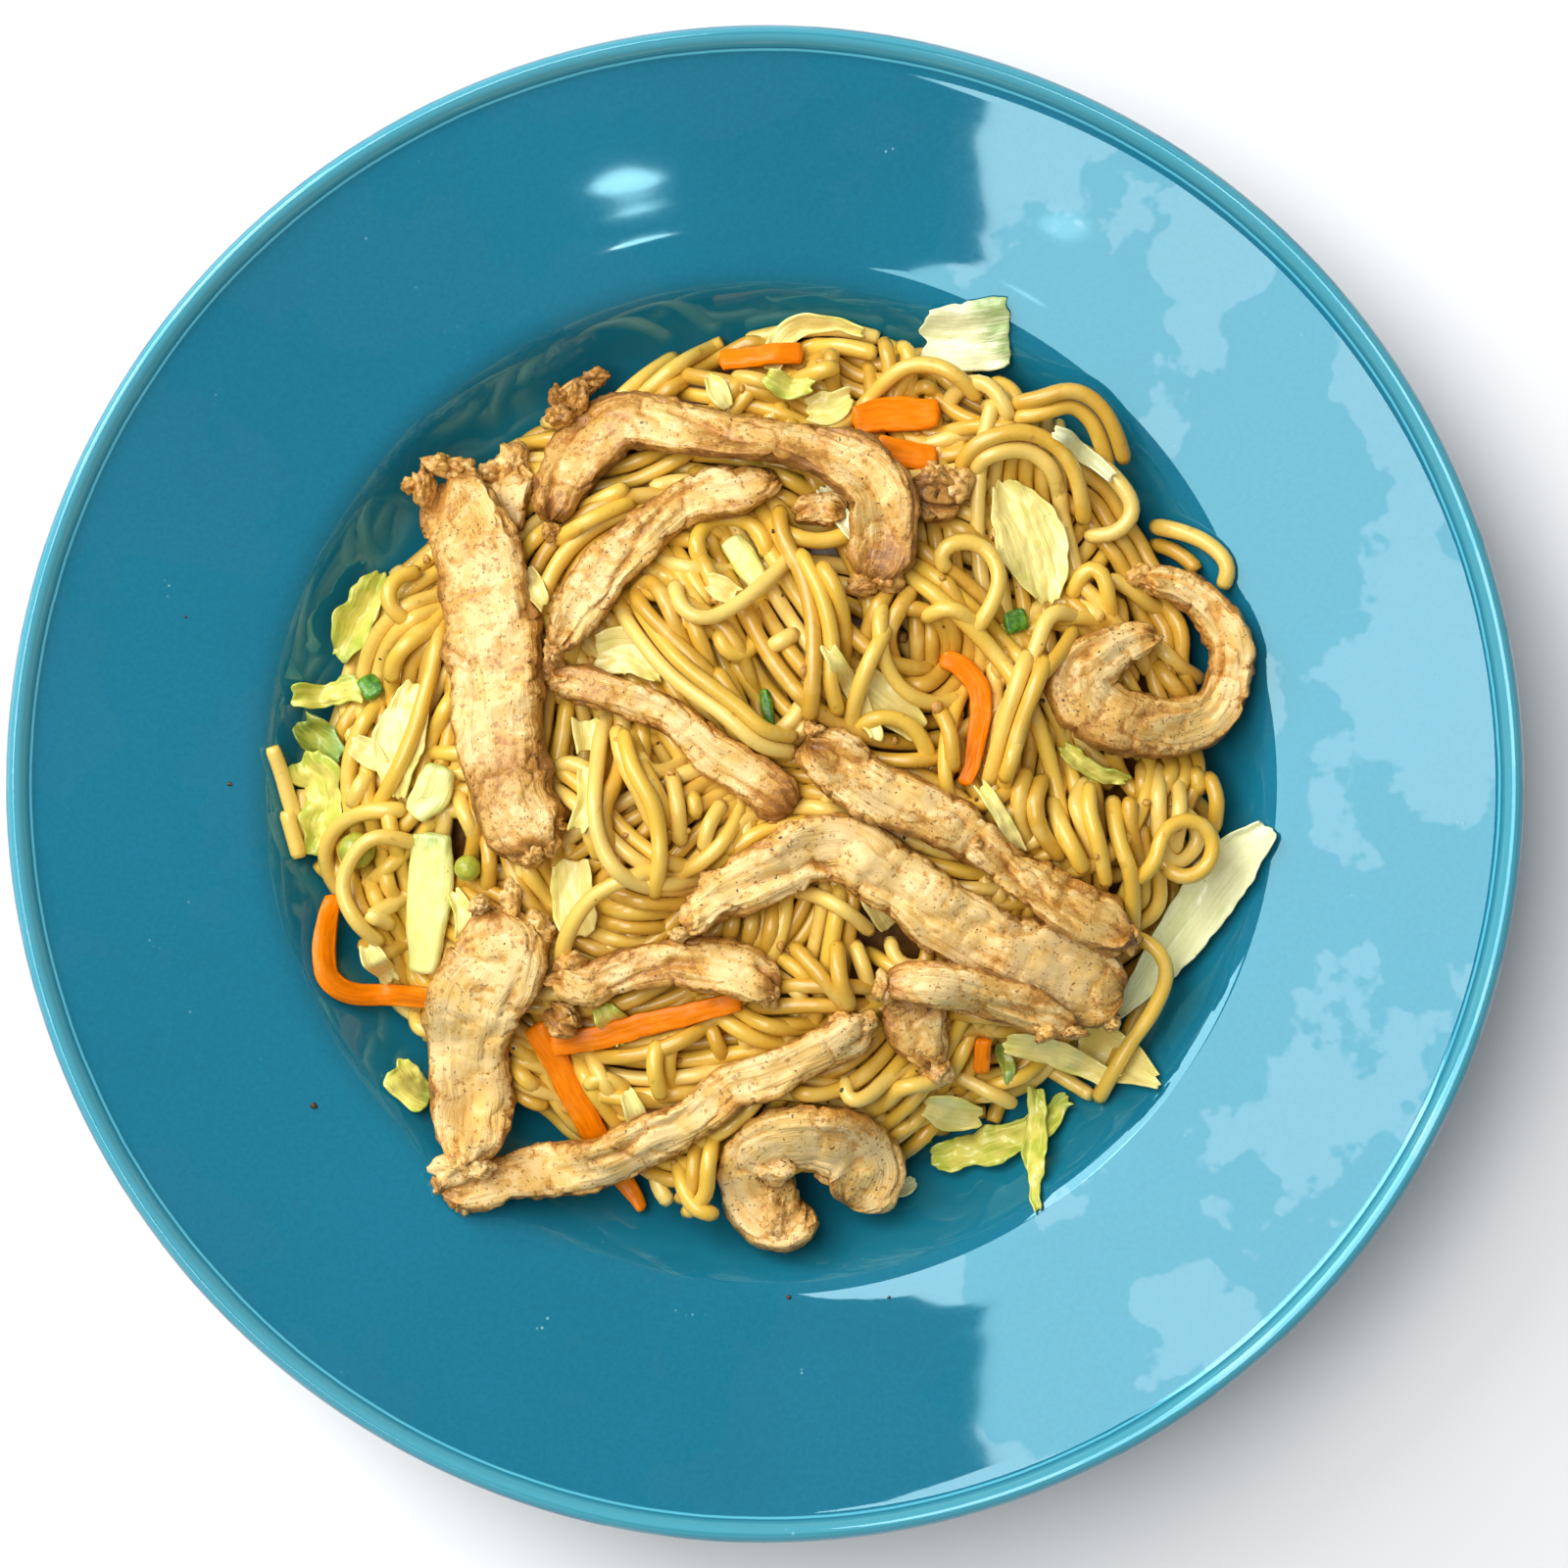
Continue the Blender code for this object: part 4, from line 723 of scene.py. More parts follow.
def spans_of(nodes):
    """The lowest underside and the highest top of the toppings at each cell."""
    ceiling = Relief(np.full(Relief.sides()[0].shape, NO_CEILING))
    tops = Relief(np.zeros(ceiling.heights.shape))
    for node in nodes:
        tree = node_tree(node)
        low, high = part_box(node)
        for x in np.arange(low.x / MM, high.x / MM + CELL, CELL):
            for y in np.arange(low.y / MM, high.y / MM + CELL, CELL):
                found = node_faces(tree, float(x), float(y))
                if found:
                    cell = ceiling.cells(np.array((x, y)))
                    ceiling.heights[cell] = min(ceiling.heights[cell], found[0])
                    tops.heights[cell] = max(tops.heights[cell], found[1])
    return ceiling, tops


def bridge(heights, slope):
    """Heights raised so that they fall no faster than a slope, as a stiff strand spans a gap."""
    heights = heights.copy()
    for i in range(1, len(heights)):
        heights[i] = max(heights[i], heights[i - 1] - slope)
    for i in range(len(heights) - 2, -1, -1):
        heights[i] = max(heights[i], heights[i + 1] - slope)
    return heights


def eased(values, turns=2):
    """Values with their kinks smoothed."""
    for _ in range(turns):
        padded = np.concatenate([values[:1], values, values[-1:]])
        values = (padded[:-2] + 2 * padded[1:-1] + padded[2:]) / 4
    return values


def lay_strand(spots, radius, relief, ceiling, dip):
    """The path of a strand over what lies there, kept under the toppings that cover it."""
    heights = relief.read(spots, radius * 0.75) + radius * 0.9
    heights = eased(bridge(heights, STRAND_SLOPE * WALK_STEP), 6)
    cap = np.minimum(ceiling.read(spots, radius * 0.9, lowest=True), HIGHEST) - radius - CEILING_GAP
    heights = np.minimum(heights, -bridge(-cap, CEILING_SLOPE * WALK_STEP))
    place = np.arange(len(spots)) * WALK_STEP
    from_end = np.minimum(place, place[-1] - place)
    heights = eased(heights) - dip * np.clip(1 - from_end / END_RAMP, 0, 1) ** 2
    low = profile_height(np.hypot(*spots.T) + radius * 0.5) + radius + 0.1
    path = np.column_stack([spots, np.maximum(heights, low)])
    relief.stamp(path, radius)
    return path


def parallel(spots, offset, wobble):
    """A route moved sideways, by an amount that drifts along it."""
    ahead = np.gradient(spots, axis=0)
    ahead /= np.maximum(np.linalg.norm(ahead, axis=1), 1e-9)[:, None]
    drift = offset * (1 + 0.16 * np.sin(wobble + np.arange(len(spots)) * WALK_STEP / 14.0))
    moved = spots + np.column_stack([-ahead[:, 1], ahead[:, 0]]) * drift[:, None]
    return np.column_stack([eased(moved[:, 0]), eased(moved[:, 1])])


def inside(spots, overhang):
    """Which spots are on the heap, or a little past its foot."""
    east = spots[:, 0] - HEAP_CENTRE[0]
    north = spots[:, 1] - HEAP_CENTRE[1]
    return np.hypot(east, north) < heap_outline(np.arctan2(north, east)) + overhang


def longest_run(spots, good):
    """The longest stretch of a route whose spots are all good."""
    best, start = (0, 0), None
    for i, ok in enumerate(list(good) + [False]):
        if ok and start is None:
            start = i
        if not ok and start is not None:
            if i - start > best[1] - best[0]:
                best = (start, i)
            start = None
    return spots[best[0] : best[1]]


def walk(draw, spot, outline):
    """A wandering route from a spot that turns back along the heap's edge."""
    heading = draw.uniform(0, WHOLE_TURN)
    bend = draw.uniform(-1, 1) * draw.choice([0.015, 0.035, 0.07])
    swing = draw.uniform(0.01, 0.06)
    phase = draw.uniform(0, 6.3)
    pace = draw.uniform(9, 22)
    spots = [(float(spot[0]), float(spot[1]))]
    for i in range(draw.randint(*WALK_STEPS)):
        x, y = spots[-1]
        turn = bend + swing * math.sin(phase + i * WALK_STEP / pace)
        east, north = x - HEAP_CENTRE[0], y - HEAP_CENTRE[1]
        around = math.atan2(north, east)
        if math.hypot(east, north) > outline[int(math.degrees(around)) % 360] - 3.0:
            home = (around + math.pi - heading + math.pi) % WHOLE_TURN - math.pi
            if abs(home) > 1.2:
                turn = math.copysign(0.17, home)
        heading += turn
        spots.append((x + WALK_STEP * math.cos(heading), y + WALK_STEP * math.sin(heading)))
    return np.array(spots)


def best_walk(draw, room, starts, outline):
    """The wandering route, of several tries, that fills the most room for its length."""
    best, best_score = None, 0.0
    for _ in range(FILL_TRIES):
        spots = walk(draw, starts[draw.randint(len(starts))], outline)
        score = float(np.clip(room.read(spots), -1.5, 5).sum()) / math.sqrt(len(spots))
        if score > best_score:
            best, best_score = spots, score
    return best


def route_spots(points):
    """Evenly spaced spots of a route from the table."""
    rough = np.array(points, float)
    length = float(np.hypot(*np.diff(rough, axis=0).T).sum())
    return spline_route(points, max(4, int(length / WALK_STEP)))[0]


def side_by_side(draw, spots, count, thickness):
    """The routes of strands that run side by side, each with its radius."""
    diameter = settings().noodle_diameter / MM
    wobble = draw.uniform(0, 6.3)
    for k in range(count):
        radius = diameter / 2 * draw.uniform(*thickness)
        yield parallel(spots, (k - (count - 1) / 2) * STRAND_SPACING, wobble), radius


def fill_heap(draw, relief, ceiling, wanted):
    """Lays bundles of wandering noodles where the heap most lacks height."""
    x, y = Relief.sides()
    outside = heap_height(x, y) < 1
    outline = [float(heap_outline(math.radians(a))) for a in range(360)]
    paths = []
    for _ in range(FILL_BUNDLES):
        room = Relief(wanted - relief.heights)
        lack = blurred(np.clip(room.heights, 0, 6), 3)
        lack[outside] = 0
        order = np.argsort(lack.ravel())[-LOWEST_CELLS:]
        starts = np.column_stack([x.ravel()[order], y.ravel()[order]])
        best = best_walk(draw, room, starts, outline)
        if best is None:
            continue
        count = draw.randint(*BUNDLE_STRANDS)
        for spots, radius in side_by_side(draw, best, count, FILL_THICKNESS):
            run = longest_run(spots, inside(spots, EDGE_OVERHANG))
            if len(run) < SHORTEST_STRAND or float(room.read(run).mean()) < MOST_BURIED:
                continue
            path = lay_strand(run, radius, relief, ceiling, END_DIP)
            paths.append((path, radius, draw.uniform(*ANY_TONE)))
    return paths


def lay_routes(draw, routes, thickness, tones, relief, ceiling, dip):
    """Lays the noodles of a table's routes over what lies there."""
    paths = []
    for count, points in routes:
        for spots, radius in side_by_side(draw, route_spots(points), count, thickness):
            path = lay_strand(spots, radius, relief, ceiling, dip)
            paths.append((path, radius, draw.uniform(*tones)))
    return paths


def crowding(routes):
    """How near each cell is to a route, from 0 to 1, so that the filling leaves it room."""
    near = Relief(np.zeros(Relief.sides()[0].shape))
    for _, points in routes:
        spots = route_spots(points)
        near.stamp(np.column_stack([spots, np.zeros(len(spots))]), ROUTE_REACH)
    return blurred((near.heights > 0).astype(float), 4)


def lay_noodles():
    """The path, radius and tone of each noodle, from the filling up, and the heights they make."""
    draw = np.random.RandomState(SEED)
    x, y = Relief.sides()
    heap = heap_height(x, y)
    relief = Relief(np.maximum(profile_height(np.hypot(x, y)) + 0.1, heap - CORE_DEPTH))
    toppings = [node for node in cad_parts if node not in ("plate", "noodles")]
    leaves = [node for node in toppings if node.startswith(("cabbage", "pea", "scallion"))]
    firm_ceiling = spans_of([node for node in toppings if node not in leaves])[0]
    leaf_ceiling, leaf_tops = spans_of(leaves)
    ceiling = Relief(np.minimum(firm_ceiling.heights, leaf_ceiling.heights))
    wanted = heap + FILL_LEVEL - ROUTE_ROOM * crowding(TOP_ROUTES)
    wanted = np.where(heap > 1, np.minimum(wanted, ceiling.heights - FILL_UNDER_TOPPINGS), 0.0)
    paths = fill_heap(draw, relief, ceiling, wanted)
    paths += lay_routes(draw, TOP_ROUTES, TOP_THICKNESS, ANY_TONE, relief, ceiling, TOP_END_DIP)
    covered = Relief(np.maximum(relief.heights, leaf_tops.heights))
    paths += lay_routes(draw, OVER_ROUTES, OVER_THICKNESS, PALER_TONE, covered, firm_ceiling, END_DIP)
    return paths, relief


def settings():
    """The sizes and colours that the sidebar shows."""
    return bpy.context.scene.noodle_dish


def start():
    """Leaves edit mode and deselects everything."""
    if bpy.context.object and bpy.context.object.mode != "OBJECT":
        bpy.ops.object.mode_set(mode="OBJECT")
    bpy.ops.object.select_all(action="DESELECT")


def coordinates(piece):
    """A piece's vertices as an array."""
    places = np.zeros(len(piece.data.vertices) * 3)
    piece.data.vertices.foreach_get("co", places)
    return places.reshape(-1, 3)


def place_vertices(piece, places):
    """Moves a piece's vertices to places in millimetres."""
    places = np.array(places, float)
    places[:, 2] = np.minimum(places[:, 2], HIGHEST)
    piece.data.vertices.foreach_set("co", (places * MM).ravel())
    piece.data.update()


def store(piece, name, values):
    """Keeps one number, or one vector, for each vertex, for the material."""
    values = np.asarray(values, float)
    kind = "FLOAT" if values.ndim == 1 else "FLOAT_VECTOR"
    layer = piece.data.attributes.new(name, kind, "POINT")
    layer.data.foreach_set("value" if values.ndim == 1 else "vector", values.ravel())


def apply_modifier(piece, kind, **values):
    """Adds a modifier and applies it."""
    modifier = piece.modifiers.new(kind.lower(), kind)
    for key, value in values.items():
        setattr(modifier, key, value)
    bpy.context.view_layer.objects.active = piece
    bpy.ops.object.modifier_apply(modifier=modifier.name)


def face_outward(piece):
    """Turns a closed piece's faces outward if they point in."""
    shape = bmesh.new()
    shape.from_mesh(piece.data)
    if shape.calc_volume(signed=True) < 0:
        bmesh.ops.reverse_faces(shape, faces=shape.faces)
    shape.to_mesh(piece.data)
    shape.free()


def finish_piece(piece, name, material, nodes=()):
    """Names a piece, gives it its material, and ties it to the frame."""
    piece.name = name
    piece.data.name = name
    piece.data.materials.clear()
    piece.data.materials.append(material)
    piece.data.shade_smooth()
    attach(piece, "root")
    if nodes:
        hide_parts(*nodes)
    return piece


def add_ball(segments, rings):
    """A ball of radius 1 to shape, and the places of its vertices."""
    start()
    bpy.ops.mesh.primitive_uv_sphere_add(segments=segments, ring_count=rings, radius=1)
    piece = bpy.context.active_object
    return piece, coordinates(piece)


def tubes_object(name, paths):
    """One mesh of many round strands with rounded ends. Each strand keeps its own tone."""
    all_places, loops, totals, tones, alongs = [], [], [], [], []
    base = 0
    angles = np.arange(STRAND_SIDES) * 2 * math.pi / STRAND_SIDES
    for path, radius, tone in paths:
        ends = np.array([0.8] + [1.0] * (len(path) - 2) + [0.8])
        size = radius * ends * (1 + 0.04 * np.sin(tone * 40 + np.arange(len(path)) * 0.35))
        ahead = np.gradient(path, axis=0)
        ahead /= np.linalg.norm(ahead, axis=1)[:, None]
        left = np.column_stack([-ahead[:, 1], ahead[:, 0], np.zeros(len(path))])
        left /= np.linalg.norm(left, axis=1)[:, None]
        up = np.cross(ahead, left)
        ring = left[:, None] * np.cos(angles)[None, :, None] + up[:, None] * np.sin(angles)[None, :, None]
        places = path[:, None] + ring * size[:, None, None]
        all_places.append(places.reshape(-1, 3))
        index = base + np.arange(len(path) * STRAND_SIDES).reshape(len(path), STRAND_SIDES)
        after = np.roll(index, -1, axis=1)
        quads = np.stack([index[:-1], after[:-1], after[1:], index[1:]], axis=-1).reshape(-1, 4)
        loops += [quads.ravel(), index[0][::-1], index[-1]]
        totals += [np.full(len(quads), 4), np.full(2, STRAND_SIDES)]
        tones.append(np.full(index.size, tone))
        alongs.append(np.repeat(np.arange(len(path)) * WALK_STEP + tone * 500, STRAND_SIDES))
        base += index.size
    loops = np.concatenate(loops)
    totals = np.concatenate(totals)
    places = np.concatenate(all_places) * MM
    mesh = bpy.data.meshes.new(name)
    mesh.vertices.add(len(places))
    mesh.vertices.foreach_set("co", places.ravel())
    mesh.loops.add(len(loops))
    mesh.loops.foreach_set("vertex_index", loops)
    mesh.polygons.add(len(totals))
    mesh.polygons.foreach_set("loop_start", np.concatenate([[0], np.cumsum(totals)[:-1]]))
    mesh.update(calc_edges=True)
    mesh.validate()
    piece = bpy.data.objects.new(name, mesh)
    bpy.context.scene.collection.objects.link(piece)
    store(piece, "tone", np.concatenate(tones))
    store(piece, "along", np.concatenate(alongs))
    return piece


def noodle_shade_core():
    """The core under the noodles, dark as painted shade: a flattened ball that follows the heap's outline and
    height.
    """
    core, ball = add_ball(72, 32)
    angle = np.arctan2(ball[:, 1], ball[:, 0])
    reach = heap_outline(angle) * np.hypot(ball[:, 0], ball[:, 1]) * CORE_WIDTH
    x = HEAP_CENTRE[0] + reach * np.cos(angle)
    y = HEAP_CENTRE[1] + reach * np.sin(angle)
    under = profile_height(np.hypot(x, y)) + CORE_GAP
    bumps = 0.5 * uneven_at(x / 4, y / 4, 0.0)
    top = np.maximum(heap_height(x, y) - CORE_DEPTH - CORE_SINK + bumps, under + 0.4)
    place_vertices(core, np.column_stack([x, y, np.where(ball[:, 2] > 1e-6, top, under)]))
    face_outward(core)
    return core


class Route:
    """The smooth route of a topping: its centres, widths, directions, length and heights."""

    def __init__(self, stations, count):
        self.centres, self.widths, self.ahead, self.length = spline_route(stations, count)
        self.middle = None

    def in_node(self, node):
        """Takes the heights halfway through a node's solid, along the route and across it."""
        tree = node_tree(node)
        left = np.column_stack([-self.ahead[:, 1], self.ahead[:, 0]])
        found = np.full((len(self.centres), len(ACROSS)), np.nan)
        for i, centre in enumerate(self.centres):
            for j, share in enumerate(ACROSS):
                x, y = centre + left[i] * share * self.widths[i] / 2
                faces = node_faces(tree, float(x), float(y))
                if faces:
                    found[i, j] = (faces[0] + faces[1]) / 2
        place = np.arange(len(self.centres))
        for j in range(len(ACROSS)):
            good = ~np.isnan(found[:, j])
            if good.any():
                found[:, j] = np.interp(place, place[good], found[good, j])
        found = np.where(np.isnan(found), np.nanmean(found, axis=1)[:, None], found)
        self.middle = np.column_stack([eased(found[:, j], 12) for j in range(len(ACROSS))])
        return self

    def on_relief(self, relief):
        """Takes the heights of what lies under the route."""
        level = eased(relief.read(self.centres, SHRED_REACH), 6)
        self.middle = np.repeat(level[:, None], len(ACROSS), axis=1)
        return self

    def at(self, share, side):
        """Where a share of the way along it and across it is: x, y, height, width and direction."""
        place = share * (len(self.centres) - 1)
        steps = np.arange(len(self.centres))
        x, y = (np.interp(place, steps, self.centres[:, k]) for k in (0, 1))
        dx, dy = (np.interp(place, steps, self.ahead[:, k]) for k in (0, 1))
        width = np.interp(place, steps, self.widths)
        heights = np.column_stack([np.interp(place, steps, self.middle[:, j]) for j in range(len(ACROSS))])
        column = np.clip((side - ACROSS[0]) / (ACROSS[1] - ACROSS[0]), 0, len(ACROSS) - 1.001)
        before = column.astype(int)
        rows = np.arange(len(column))
        part = column - before
        height = heights[rows, before] * (1 - part) + heights[rows, before + 1] * part
        return x - dy * side * width / 2, y + dx * side * width / 2, height, width, dx, dy


def strip_ball(segments, rings, side_power, rise_power):
    """A ball read as a strip: its share along, its turn, and how far it is to the side and up."""
    piece, ball = add_ball(segments, rings)
    share = np.arccos(np.clip(ball[:, 2], -1, 1)) / math.pi
    turn = np.arctan2(ball[:, 1], ball[:, 0])
    side = np.sign(np.cos(turn)) * np.abs(np.cos(turn)) ** side_power
    rise = np.sign(np.sin(turn)) * np.abs(np.sin(turn)) ** rise_power
    return piece, share, turn, side, rise


def end_rounding(share, length, reach):
    """How many reaches each place is from an end, and how far the end narrows it, from 0 to 1."""
    end = np.minimum(share, 1 - share) * length / reach
    return end, np.sqrt(1 - (1 - np.clip(end, 0, 1)) ** 2)


def meat_strip(node, thickness, stations, browning, number):
    """A strip of chicken along the route of its solid, with torn edges, lumps, creases and fibres."""
    route = Route(stations, 60).in_node(node)
    rings = int(max(36, min(190, route.length * 1.7)))
    piece, share, turn, side, rise = strip_ball(80, rings, 0.75, 0.7)
    along = share * route.length
    seed = number * 7.3
    soft_side = np.cos(turn)
    width_here = np.interp(share, np.linspace(0, 1, len(route.widths)), route.widths)
    end, rounding = end_rounding(share, route.length, 0.42 * width_here)
    edge = MEAT_EDGE * uneven_at(along / 12.0, soft_side * 0.8, seed)
    sway = uneven_at(along / 9.0, 0.0, seed + 3.0)
    reach = side * rounding * (1 + edge) + sway * 0.10 * rounding
    x, y, height, width, dx, dy = route.at(share, reach)
    nearness = np.clip(1 - end / 1.6, 0, 1)
    frayed = uneven_at(soft_side * 2.2, rise * 1.5 + (share > 0.5) * 9, seed, 3)
    tip = nearness * np.where(share < 0.5, -1, 1) * frayed * MEAT_FRAY * rounding
    x += dx * tip
    y += dy * tip
    spots = np.column_stack([x, y, height + rise * thickness / 2]) + number * 31.0
    lumps = uneven(spots / LUMP_SIZE)
    crags = uneven(spots / CRAG_SIZE, 3)
    fibres = uneven_at(along / FIBRE_SIZE[0], soft_side * width / FIBRE_SIZE[1], rise * 1.2 + seed)
    crease, groove = meat_creases(along, soft_side, width, rise, number)
    rim = np.maximum(np.abs(soft_side) ** 4, nearness)
    top = rise > 0
    out = MEAT_LUMPS * lumps + (MEAT_CRAGS + RIM_CRAGS * rim) * crags + MEAT_FIBRES * fibres
    out += rim * RIM_LUMPS * lumps
    out -= (MEAT_CREASE * crease + MEAT_GROOVE * groove) * top
    out *= np.where(rise > -0.15, 1.0, 0.35) * np.clip(thickness / 7.0, 0.5, 1.1) * np.sqrt(rounding)
    x -= dy * out * np.cos(turn)
    y += dx * out * np.cos(turn)
    crown = 1 + MEAT_CROWN * uneven_at(along / 8.0, soft_side * 0.9, seed + 8.0)
    lean = MEAT_LEAN * soft_side * uneven_at(along / 16.0, 0.0, seed + 13.0)
    z = height + thickness / 2 * rise * rounding * np.where(top, crown, 1.0) + out * np.sin(turn) + lean * top
    place_vertices(piece, np.column_stack([x, y, z]))
    face_outward(piece)
    patches = uneven_at(along / 10.0, soft_side * 0.7, seed + 15.0)
    # Creases, grooves and the low spots of the crags and fibres: partly browning, partly painted shade.
    hollow_shade_and_browning = 0.8 * crease * top + 0.7 * groove * top - 0.3 * crags - 0.2 * fibres
    store(piece, "grain", np.column_stack([along, soft_side * width / 2, rise * thickness / 2 + number * 20]))
    store(piece, "outer", np.where(rise > -0.2, rim, 0.8))
    store(piece, "brown", browning + 0.6 * patches)
    store(piece, "hollow_shade_and_browning", np.clip(hollow_shade_and_browning, 0, 1))
    nearest = np.column_stack([route.centres, route.middle.mean(axis=1)])
    return with_knobs(piece, MEAT_KNOBS.get(node, ()), nearest, number, browning)


def meat_creases(along, soft_side, width, rise, number):
    """How deep in a crease, and in a long groove, each place of a strip is, from 0 to 1."""
    seed = number * 7.3
    fold = uneven_at(along / CREASE_SIZE[0], soft_side * width / CREASE_SIZE[1], rise * 0.3 + seed + 5.0)
    crease = np.exp(-((fold / CREASE_WIDTH) ** 2))
    wander = 0.5 * np.sin(along / 13.0 + number * 2.1) + 0.25 * uneven_at(along / 8.0, 0.0, seed + 9.0)
    present = np.clip(uneven_at(along / 15.0, 0.0, seed + 11.0) * 4 + 0.6, 0, 1)
    return crease, np.exp(-(((soft_side - wander) / GROOVE_WIDTH) ** 2)) * present


def with_knobs(piece, knobs, route, number, browning):
    """Joins browned knobs to a strip, each at the height of the nearest spot of its route."""
    parts = [piece]
    for order, (x, y, size) in enumerate(knobs):
        near = np.hypot(route[:, 0] - x, route[:, 1] - y).argmin()
        knob, ball = add_ball(28, 18)
        seed = number * 13.0 + order * 5.0
        lumps = 0.92 + 0.5 * uneven(ball * 1.1 + seed) + 0.22 * uneven(ball * 3.0 + seed, 3)
        stretch = 1 + 0.35 * np.sin(np.array((seed, seed * 1.7 + 1.0, 0.0))) * np.array((1.0, 1.0, 0.0))
        centre = np.array((x, y, route[near, 2] + 0.4))
        place_vertices(knob, centre + ball * stretch * (lumps * size / 2)[:, None])
        store(knob, "grain", ball * size / 2 + seed)
        store(knob, "outer", 0.45 + 0.4 * uneven(ball * 1.6 + seed))
        store(knob, "brown", np.full(len(ball), browning))
        store(knob, "hollow_shade_and_browning", np.clip(-0.8 * uneven(ball * 3.4 + seed), 0, 1))
        parts.append(knob)
    return joined(parts)


def joined(parts):
    """Joins pieces into the first of them."""
    start()
    for part in parts:
        part.select_set(True)
    bpy.context.view_layer.objects.active = parts[0]
    if len(parts) > 1:
        bpy.ops.object.join()
    return parts[0]


def firm_strip(node, thickness, stations, square, number):
    """A cut vegetable strip along the route of its solid, with firm edges."""
    route = Route(stations, 40).in_node(node)
    rings = int(max(20, min(90, route.length * 1.6)))
    piece, share, _, side, rise = strip_ball(36, rings, square, square)
    along = share * route.length
    rounding = end_rounding(share, route.length, 0.9)[1]
    x, y, height, width, dx, dy = route.at(share, side * rounding)
    wrinkle = uneven_at(along / 3.2, side * width / 3.0, rise + number * 3.1)
    lean = uneven_at(along / 5.0, 0.0, number * 1.7)
    x -= dy * lean * 0.35
    y += dx * lean * 0.35
    z = height + thickness / 2 * rise * rounding * (1 + 0.1 * wrinkle) + 0.12 * wrinkle
    place_vertices(piece, np.column_stack([x, y, z]))
    face_outward(piece)
    store(piece, "grain", np.column_stack([along, side * width / 2, rise + number * 20]))
    store(piece, "outer", np.maximum(np.abs(side) ** 4, 1 - rounding))
    store(piece, "verdure", np.clip(0.9 - share * 1.8, 0, 1) * 0.8)
    return piece


def leaf_sheet(route, number, kind):
    """A wilted piece of leaf: a thin cupped sheet, crinkled and frilled by how leafy its kind is."""
    ruffle, cup, green = LEAF_SHAPE[kind]
    start()
    columns = int(max(12, route.length * 1.7))
    rows = int(max(8, float(np.max(route.widths)) * 1.7))
    bpy.ops.mesh.primitive_grid_add(x_subdivisions=columns, y_subdivisions=rows, size=2)
    piece = bpy.context.active_object
    flat = coordinates(piece)
    share = (flat[:, 0] + 1) / 2
    side = flat[:, 1]
    along = share * route.length
    seed = number * 3.3
    ragged = uneven_at(along / 3.0, np.sign(side) * 2.0, seed)
    notch = np.sin(along / 1.5 + 2.0 * uneven_at(along / 6.0, side, seed + 4.0))
    reach = side * (1 + (0.10 * ragged + 0.16 * ruffle * notch) * np.abs(side) ** 2)
    x, y, height, wide, dx, dy = route.at(share, reach)
    end = np.clip(np.abs(2 * share - 1) - 0.6, 0, 1) / 0.4
    tip = uneven_at(side * 1.6, (share > 0.5) * 7.0, seed) * 1.4 * end * np.sign(share - 0.5)
    sway = 0.9 * ruffle * uneven_at(along / 3.5, 0.0, seed + 6.0)
    x += dx * tip - dy * sway
    y += dy * tip + dx * sway
    fold = uneven_at(along / 5.0, side * wide / 5.0, seed + 1.0)
    crinkle = uneven_at(along / 2.0, side * wide / 2.6, seed + 2.0)
    rib = np.exp(-((side * wide / 2.0) ** 2) / 0.5)
    z = height + LEAF_LIFT + cup * side**2 + (0.5 + 0.7 * ruffle) * fold + (0.12 + 0.5 * ruffle) * crinkle
    z += 0.9 * ruffle * notch * np.abs(side) ** 1.5 + 0.22 * rib
    place_vertices(piece, np.column_stack([x, y, z]))
    store(piece, "grain", np.column_stack([along, side * wide / 2, np.full(len(side), number * 20.0)]))
    store(piece, "outer", np.maximum(np.abs(side), np.abs(2 * share - 1)) ** 3)
    store(piece, "verdure", green * np.clip(share * 1.6 - 0.5 + 0.3 * side, 0, 1))
    apply_modifier(piece, "SOLIDIFY", thickness=LEAF_THICKNESS * MM, offset=0.0)
    apply_modifier(piece, "SUBSURF", levels=1, render_levels=1)
    return piece


def pea_piece(node, number):
    """A cooked pea with a dimple and a slightly wrinkled skin."""
    low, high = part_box(node)
    middle = np.array((low + high) / 2) / MM
    radius = (high.x - low.x) / MM / 2
    piece, ball = add_ball(40, 26)
    skin = uneven(ball * 2.2 + number * 3.0, 3)
    dimple = np.exp(-((ball - np.array(PEA_DIMPLE)) ** 2).sum(axis=1) / 0.05)
    place_vertices(piece, middle + ball * (radius * (1 + 0.025 * skin - 0.10 * dimple))[:, None])
    store(piece, "grain", ball * radius + number * 20)
    store(piece, "outer", dimple)
    return piece


def crumb_cluster(spots, seed):
    """Small uneven crumbs, modelled once and copied, joined into one mesh."""
    draw = np.random.RandomState(seed)
    start()
    bpy.ops.mesh.primitive_ico_sphere_add(subdivisions=2, radius=1)
    first = bpy.context.active_object
    ball = coordinates(first)
    copies = []
    for x, y, z, size in spots:
        crumb = first.copy()
        crumb.data = first.data.copy()
        bpy.context.scene.collection.objects.link(crumb)
        lumps = 1 + 0.35 * uneven(ball * 1.3 + draw.uniform(0, 90, 3))
        stretch = np.array((draw.uniform(0.7, 1.3), draw.uniform(0.7, 1.3), 0.7))
        place_vertices(crumb, np.array((x, y, z)) + ball * lumps[:, None] * stretch * size / 2)
        copies.append(crumb)
    bpy.data.objects.remove(first)
    return joined(copies)


